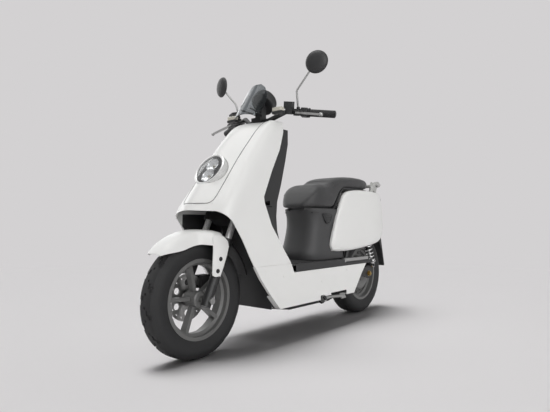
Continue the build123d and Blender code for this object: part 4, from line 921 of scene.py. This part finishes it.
@dataclass
class FrontFender:
    """White blade over the front wheel with its side arms, and the dark flap behind it."""

    axle: Point = (0.0, -0.667, 0.233)
    thickness: float = 0.003
    crown: float = 0.274
    # angle up from the rear, half width, radius that the side reaches down to
    stations: tuple = (
        (62, 0.0525, 0.252), (68, 0.0525, 0.250), (72, 0.056, 0.240), (75, 0.088, 0.222), (78, 0.0995, 0.214),
        (83, 0.0995, 0.212), (87, 0.0960, 0.212), (91, 0.080, 0.214), (95, 0.062, 0.216),
        (100, 0.0545, 0.216), (110, 0.0540, 0.217), (117, 0.0540, 0.220), (124, 0.0525, 0.230),
        (130, 0.048, 0.244), (135, 0.040, 0.257), (137, 0.034, 0.262),
    )
    flap: tuple = ((16, 0.046, 0.262), (18, 0.051, 0.258), (28, 0.052, 0.257), (45, 0.052, 0.257),
                   (61.6, 0.052, 0.257))
    flap_sink: float = 0.0015
    # y, z from the axle in millimetres, then x and scale in metres, layer by layer
    arm: tuple = ((10, 250), (60, 246), (92, 206), (50, 98), (42, 92), (22, 90), (12, 94), (4, 106), (8, 196))
    arm_layers: tuple = ((0.0965, 0.97), (0.0973, 1.0), (0.0992, 1.0), (0.1002, 0.985), (0.1005, 0.95))
    bolts: tuple = ((46, 158), (31, 112))
    bolt_reach: float = 0.1004

    def section(self, angle: float, half: float, low: float, crown: float) -> list[Vector]:
        """Closed section of the blade at an angle round the wheel.

        Args:
            angle: Degrees up from the rear.
            half: Half width.
            low: Radius that the side reaches down to.
            crown: Radius of the top.
        Returns:
            Points of the loop.
        """
        turn = math.radians(angle)
        drop = crown - low
        path = [(1.0, low), (0.998, low + drop * 0.35), (0.985, low + drop * 0.62), (0.93, low + drop * 0.80),
                (0.80, low + drop * 0.91), (0.58, low + drop * 0.97), (0.30, crown - 0.0005), (0.0, crown)]
        outer = [(share * half, radius) for share, radius in path] + \
                [(-share * half, radius) for share, radius in reversed(path[:-1])]
        scale = (half - self.thickness) / half
        inner = [(x * scale, max(radius - self.thickness, low)) for x, radius in reversed(outer)]
        return [Vector((x, self.axle[1] + radius * math.cos(turn), self.axle[2] + radius * math.sin(turn)))
                for x, radius in outer + inner]

    def build(self) -> None:
        """Lofts the blade and flap, then cuts out the arms and turns their bolts."""
        knots = catmull(self.stations, 3, closed=False)
        blade = lofted("front_fender_blade", [self.section(*knot, self.crown) for knot in knots], sharp=40)
        settle(blade, WHITE_PAINT, "white_panel", "fork_slider", "front_fender")
        knots = catmull(self.flap, 4, closed=False)
        loops = [self.section(*knot, self.crown - self.flap_sink) for knot in knots]
        flap = lofted("front_fender_flap", loops, sharp=40)
        settle(flap, DARK_ABS, "dark_panel", "fork_slider")
        rim = catmull([(0, y * MM, z * MM) for y, z in self.arm], 3)
        left = plate("front_fender_arm_left", rim, self.arm_layers, self.axle)
        settle_pair(left, WHITE_PAINT, "white_panel", "fork_slider")
        head = [(0.0, 0.0), (0.0, 0.0085), (0.0012, 0.0090), (0.0030, 0.0078), (0.0034, 0.0052),
                (0.0022, 0.0046), (0.0020, 0.0)]
        for number, (y, z) in enumerate(self.bolts):
            for side, label in ((1, "left"), (-1, "right")):
                spot = Vector(self.axle) + Vector((side * self.bolt_reach, y * MM, z * MM))
                bolt = spun(f"fender_bolt_{label}_{number + 1}", head, spot, (side, 0, 0), 24)
                settle(bolt, POWDER_COAT, "frame_black", "fork_slider")


@dataclass
class SeatBase:
    """Waisted seat base: an open shell with a rolled rim, and louvred vents in its sides."""

    # height, front edge, half width
    levels: tuple = (
        (0.347, -0.013, 0.1205), (0.366, -0.019, 0.1205), (0.386, -0.0195, 0.1200), (0.420, -0.006, 0.1180),
        (0.460, 0.008, 0.1150), (0.500, 0.019, 0.1140), (0.530, 0.0235, 0.1145), (0.565, 0.0225, 0.1175),
        (0.590, 0.0145, 0.1200), (0.604, 0.0100, 0.1205), (0.609, 0.0105, 0.1195),
    )
    rear: float = 0.287
    wall: float = 0.003
    # y, z round the vent, and then its x and scale, layer by layer
    vent: tuple = ((0.086, 0.583), (0.164, 0.583), (0.160, 0.560), (0.150, 0.545), (0.134, 0.534),
                   (0.116, 0.534), (0.100, 0.548))
    vent_layers: tuple = ((0.1150, 1.0), (0.1192, 1.0), (0.1200, 0.97), (0.1196, 0.93), (0.1180, 0.91))
    slats: int = 5
    slat_step: float = 0.0085

    def outline(self, height: float, front: float, half: float) -> list[Vector]:
        """Plan outline at a height.

        Args:
            height: Z of the outline.
            front: Y of its nose.
            half: Half width.
        Returns:
            Points of the loop.
        """
        side = [(0.030, front + 0.0005), (0.055, front + 0.005), (0.080, front + 0.016),
                (0.100, front + 0.034), (half - 0.006, front + 0.062), (half, front + 0.100), (half, 0.180),
                (half, 0.240), (half - 0.001, self.rear - 0.010), (half - 0.010, self.rear),
                (0.060, self.rear)]
        loop = [(0.0, front)] + side + [(0.0, self.rear)] + [(-x, y) for x, y in reversed(side)]
        return [Vector((x, y, height)) for x, y in loop]

    def build(self) -> None:
        """Lofts the shell and sets the vents into it."""
        knots = catmull(self.levels, 2, closed=False)
        shell = lofted("seat_base_shell", [self.outline(*knot) for knot in knots], close_start=False,
                       close_end=False, sharp=60)
        with_modifier(shell, "SOLIDIFY", thickness=self.wall, offset=-1.0)
        with_modifier(shell, "SUBSURF", levels=1, render_levels=1)
        settle(shell, GREY_SHELL, "dark_panel", "chassis", "seat_base")
        rim = catmull([(0.0, y, z) for y, z in self.vent], 3)
        vent = plate("seat_base_vent_left", rim, self.vent_layers)
        settle_pair(vent, DARK_ABS, "dark_panel", "chassis")
        for number in range(self.slats):
            drop = number * self.slat_step
            slat = rounded_box(f"vent_slat_left_{number + 1}", (0.1190, 0.1285, 0.5765 - drop),
                               (0.003, 0.064 - drop, 0.0036), 0.0012)
            settle_pair(slat, GREY_SHELL, "dark_panel", "chassis")


@dataclass
class Mirrors:
    """Round mirrors: dished dark shells, silvered glass and bent bright stems."""

    head: Point = (0.297, -0.240, 1.240)
    turn: float = 17.0
    foot: Point = (0.1828, -0.218, 1.052)
    stem_radius: float = 0.0048

    def build(self) -> None:
        """Builds the left mirror's pieces and mirrors each of them."""
        turn = math.radians(self.turn)
        back = Vector((-math.sin(turn), math.cos(turn), 0))
        shell = [(-0.0115, 0.0), (-0.0110, 0.018), (-0.0085, 0.034), (-0.0030, 0.046), (0.0030, 0.0508),
                 (0.0070, 0.0518), (0.0085, 0.0508), (0.0086, 0.0486), (0.0060, 0.0480), (0.0060, 0.0)]
        glass = [(0.0062, 0.0), (0.0064, 0.0470), (0.0072, 0.0478), (0.0078, 0.0468), (0.0080, 0.030),
                 (0.0081, 0.0)]
        stem = [self.foot, (0.1862, -0.2285, 1.090), (0.1895, -0.2385, 1.126), (0.1915, -0.240, 1.1315),
                (0.196, -0.240, 1.136), (0.235, -0.240, 1.1765), (0.268, -0.2405, 1.2105)]
        nut = [(0.0, 0.0), (0.0, 0.0070), (0.0012, 0.0080), (0.0080, 0.0080), (0.0092, 0.0072),
               (0.0096, 0.0055), (0.0096, 0.0)]
        nut_centre = (0.1828, -0.2180, 1.0515)
        pieces = [
            (spun("mirror_shell_left", shell, self.head, back), DARK_ABS, "dark_panel"),
            (spun("mirror_glass_left", glass, self.head, back), MIRROR_GLASS, "bright_steel"),
            (bent_rod("mirror_stem_left", stem, self.stem_radius), CAST_ALLOY, "silver_alloy"),
            (spun("mirror_nut_left", nut, nut_centre, (0, 0, 1), 32), POWDER_COAT, "frame_black"),
        ]
        for number, (piece, finish, slot) in enumerate(pieces):
            settle_pair(piece, finish, slot, "left_mirror", *(["left_mirror"] if number == 0 else []))


@dataclass
class Indicators:
    """Front indicators: milky lens on a black housing and a short stalk."""

    centre: Point = (0.141, -0.312, 1.034)
    stalk_radius: float = 0.0065

    def build(self) -> None:
        """Builds the left indicator's pieces and mirrors each of them."""
        x, y, z = self.centre
        lens = rounded_box("indicator_lens_left", (x, y, z + 0.0035), (0.052, 0.028, 0.021), 0.006)
        housing = rounded_box("indicator_housing_left", (x, y + 0.001, z - 0.0095), (0.054, 0.030, 0.013),
                              0.004)
        route = [(x, y + 0.006, z - 0.013), (x - 0.002, y + 0.03, z - 0.012),
                 (x - 0.009, y + 0.058, z - 0.002), (x - 0.013, y + 0.070, z + 0.006)]
        stalk = bent_rod("indicator_stalk_left", route, self.stalk_radius)
        settle_pair(lens, INDICATOR_LENS, "indicator_lens", "steering", "front_indicators")
        settle_pair(housing, DARK_ABS, "dark_panel", "steering")
        settle_pair(stalk, DARK_ABS, "dark_panel", "steering")


@dataclass
class ShockSprings:
    """Bright coil springs, which ride on the shock's upper part."""

    eye: Point = (0.112, 0.5459, 0.4502)
    way: Point = (0.0, -0.4472, 0.8944)
    length: float = 0.1526
    coil: float = 0.020
    wire: float = 0.0035
    turns: float = 8.0
    flat_turns: float = 0.8
    keep: float = 0.672

    def build(self) -> None:
        """Winds the left spring and mirrors it."""
        way = unit(self.way)
        side = Vector((1, 0, 0))
        across = way.cross(side)
        steps = int(self.turns * 12)
        line = []
        for number in range(steps + 1):
            share = number / steps
            # The end turns lie flat, as ground spring ends do.
            wound = (share * self.turns - self.flat_turns) / (self.turns - 2 * self.flat_turns)
            lift = min(max(wound, 0.0), 1.0)
            angle = math.tau * self.turns * share
            down = self.wire + (self.length - 2 * self.wire) * lift
            line.append(tuple(Vector(self.eye) - way * down
                              + (side * math.cos(angle) + across * math.sin(angle)) * self.coil))
        left = bent_rod("shock_spring_left", line, self.wire)
        pair = settle_pair(left, CHROME, "bright_steel", "shock_upper", "shock_springs")
        for piece, x in zip(pair, (self.eye[0], -self.eye[0])):
            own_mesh(piece)


@dataclass
class SmallParts:
    """Dial glass, tail lamp lens, rail brackets and floor ribs."""

    pod: Point = (0.0, -0.244, 1.106)
    pod_tilt: float = 50.0
    ribs: int = 7
    rib_pitch: float = 0.036

    def build(self) -> None:
        """Adds the small pieces that the eye expects."""
        tilt = math.radians(self.pod_tilt)
        facing = Vector((0, math.sin(tilt), math.cos(tilt)))
        glass = [(0.0205, 0.0), (0.0205, 0.0505), (0.0222, 0.0512), (0.0230, 0.0500), (0.0236, 0.030),
                 (0.0238, 0.0)]
        settle(spun("dial_glass", glass, self.pod, facing), DIAL_GLASS, "dark_panel", "steering")
        bezel = [(0.0200, 0.0512), (0.0232, 0.0516), (0.0242, 0.0535), (0.0236, 0.0560), (0.0205, 0.0572),
                 (0.0200, 0.0512)]
        settle(spun("dial_bezel", bezel, self.pod, facing), CAST_ALLOY, "silver_alloy", "steering")
        lens = rounded_box("tail_lamp_lens", (0.0, 0.8475, 0.590), (0.120, 0.010, 0.050), 0.0045)
        settle(lens, RED_LENS, "red_lens", "chassis")
        bracket = rounded_box("rail_bracket_left", (0.1150, 0.640, 0.752), (0.014, 0.074, 0.040), 0.006, -28)
        settle_pair(bracket, RAIL_PAINT, "rail_grey", "chassis")
        for number in range(self.ribs):
            x = (number - self.ribs // 2) * self.rib_pitch
            rib = rounded_box(f"mat_rib_{number + 1}", (x, -0.121, 0.3498), (0.012, 0.150, 0.004), 0.0016)
            settle(rib, SOFT_RUBBER, "rubber", "chassis")


class FloorLink(Enum):
    """What a sun does to the floor."""

    BOTH = ""
    FLOOR_ONLY = "INCLUDE"
    NOT_FLOOR = "EXCLUDE"


@dataclass
class Studio:
    """Pale floor that fades into a plain backdrop, soft suns and the camera."""

    eye: Point = (1.3993, -1.8763, 0.5223)
    heading: float = 39.209
    pitch: float = 2.449
    lens: float = 29.84
    backdrop: str = "D3D1D2"
    floor_colour: str = "E9E7E8"
    ambient: float = 0.14
    reflected: float = 0.55
    # distances between which the floor turns into the backdrop
    fade: tuple[float, float] = (1.6, 4.5)
    # name, direction from the scooter, watts per square metre, apparent size in degrees, floor. The fills
    # stay off the floor, so that the scooter's shadow stays deep.
    suns: tuple = (
        ("key_sun", (-0.22, -0.14, 0.95), 1.02, 40.0, FloorLink.BOTH),
        ("fill_sun", (0.86, -0.40, 0.30), 1.76, 60.0, FloorLink.NOT_FLOOR),
        ("far_fill_sun", (-0.85, 0.20, 0.35), 0.80, 50.0, FloorLink.NOT_FLOOR),
        ("floor_sun", (-0.10, -0.06, 0.99), 1.10, 24.0, FloorLink.FLOOR_ONLY),
    )

    def build(self) -> None:
        """Makes the floor, the world, the suns and the camera."""
        self.floor()
        self.world()
        for name, way, strength, softness, floor in self.suns:
            light = self.sun(name, way, strength, softness)
            if floor is not FloorLink.BOTH:
                self.link_floor(light, floor)
        deselect()
        bpy.ops.object.camera_add(location=self.eye,
                                  rotation=(math.radians(90 + self.pitch), 0, math.radians(self.heading)))
        camera = bpy.context.object
        camera.data.lens = self.lens
        camera.data.sensor_width = 36.0
        camera.data.clip_end = 100
        bpy.context.scene.camera = camera
        bpy.context.scene.view_settings.view_transform = "Standard"
        LOG.info("studio ready")

    def link_floor(self, light: Piece, floor: FloorLink) -> None:
        """Keeps a light off the floor, or on the floor alone.

        Args:
            light: The light.
            floor: What it does to the floor.
        """
        linked = bpy.data.collections.new(light.name + "_link")
        linked.objects.link(bpy.data.objects["studio_floor"])
        light.light_linking.receiver_collection = linked
        linked.collection_objects[0].light_linking.link_state = floor.value

    def sun(self, name: str, way: Point, strength: float, softness: float) -> Piece:
        """Soft distant light.

        Args:
            name: Name of the light.
            way: Direction from the scooter towards it.
            strength: Watts per square metre.
            softness: Apparent size in degrees.
        Returns:
            The light.
        """
        deselect()
        bpy.ops.object.light_add(type="SUN", location=Vector(way) * 5)
        light = bpy.context.object
        light.name = name
        light.data.energy = strength
        light.data.angle = math.radians(softness)
        light.rotation_euler = (-Vector(way)).to_track_quat("-Z", "Y").to_euler()
        return light

    def world(self) -> None:
        """Even pale world that lights softly; camera rays see the backdrop's colour."""
        world = bpy.data.worlds.new("studio_world")
        tree = fresh_tree(world)
        white, seen_colour = linear("FFFFFF"), linear(self.backdrop)
        dim, shine, seen = (
            add_node(tree, "ShaderNodeBackground", {"Color": colour, "Strength": strength}).outputs[0]
            for colour, strength in ((white, self.ambient), (white, self.reflected), (seen_colour, 1.0)))
        rays = add_node(tree, "ShaderNodeLightPath")
        lit = add_node(tree, "ShaderNodeMixShader",
                       links={0: rays.outputs["Is Glossy Ray"], 1: dim, 2: shine})
        either = add_node(tree, "ShaderNodeMath", operation="MAXIMUM",
                          links={0: rays.outputs["Is Camera Ray"], 1: rays.outputs["Is Transmission Ray"]})
        mixed = add_node(tree, "ShaderNodeMixShader",
                         links={0: either.outputs["Value"], 1: lit.outputs[0], 2: seen})
        add_node(tree, "ShaderNodeOutputWorld", links={"Surface": mixed.outputs[0]})
        bpy.context.scene.world = world

    def floor(self) -> None:
        """Wide pale floor: lit and shadowed near the scooter, the backdrop's own colour far away."""
        deselect()
        bpy.ops.mesh.primitive_plane_add(size=60, location=(0, 0, -0.0005))
        floor = named(bpy.context.object, "studio_floor")
        bpy.ops.object.transform_apply(location=True, rotation=False, scale=False)
        material = bpy.data.materials.new("pale_studio_floor")
        tree = fresh_tree(material)
        place = add_node(tree, "ShaderNodeTexCoord").outputs["Object"]
        away = add_node(tree, "ShaderNodeVectorMath", links={0: place}, operation="LENGTH").outputs["Value"]
        near, distant = self.fade
        far = add_node(tree, "ShaderNodeMapRange", {"From Min": near, "From Max": distant}, {"Value": away},
                       interpolation_type="SMOOTHSTEP").outputs["Result"]
        grain = add_node(tree, "ShaderNodeTexNoise", {"Scale": 40.0, "Detail": 3.0}, {"Vector": place})
        bump = add_node(tree, "ShaderNodeBump", {"Strength": 0.1, "Distance": 0.0002},
                        {"Height": grain.outputs["Fac"]})
        paint = add_node(tree, "ShaderNodeBsdfPrincipled",
                         {"Base Color": linear(self.floor_colour), "Roughness": 0.9,
                          "Specular IOR Level": 0.0}, {"Normal": bump.outputs["Normal"]})
        glow = add_node(tree, "ShaderNodeEmission", {"Color": linear(self.backdrop), "Strength": 1.0})
        mixed = add_node(tree, "ShaderNodeMixShader", links={0: far, 1: paint.outputs[0], 2: glow.outputs[0]})
        add_node(tree, "ShaderNodeOutputMaterial", links={"Surface": mixed.outputs[0]})
        floor.data.materials.append(material)


def main() -> None:
    """Builds the sub-assemblies in order."""
    logging.basicConfig(level=logging.INFO)
    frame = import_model()
    CarriedNodes(frame["nodes"]).dress()
    Tyre("front_tyre_treaded", "front_tyre", "front_wheel", axle=(0.0, -0.667, 0.233), radius=0.233,
         half_width=0.047, contact_half=0.019, rim_half=0.034).build()
    Tyre("rear_tyre_treaded", "rear_tyre", "rear_wheel", axle=(0.0, 0.613, 0.236), radius=0.236,
         half_width=0.059, contact_half=0.025, rim_half=0.045).build()
    SeatCushion().build()
    RearPanel().build()
    Headlight().build()
    CoverSeamShade(frame["nodes"]["front_cover"]).build()
    ArchLining().build()
    FrontFender().build()
    SeatBase().build()
    Mirrors().build()
    Indicators().build()
    ShockSprings().build()
    SmallParts().build()
    Studio().build()


if __name__ == "__main__":
    main()
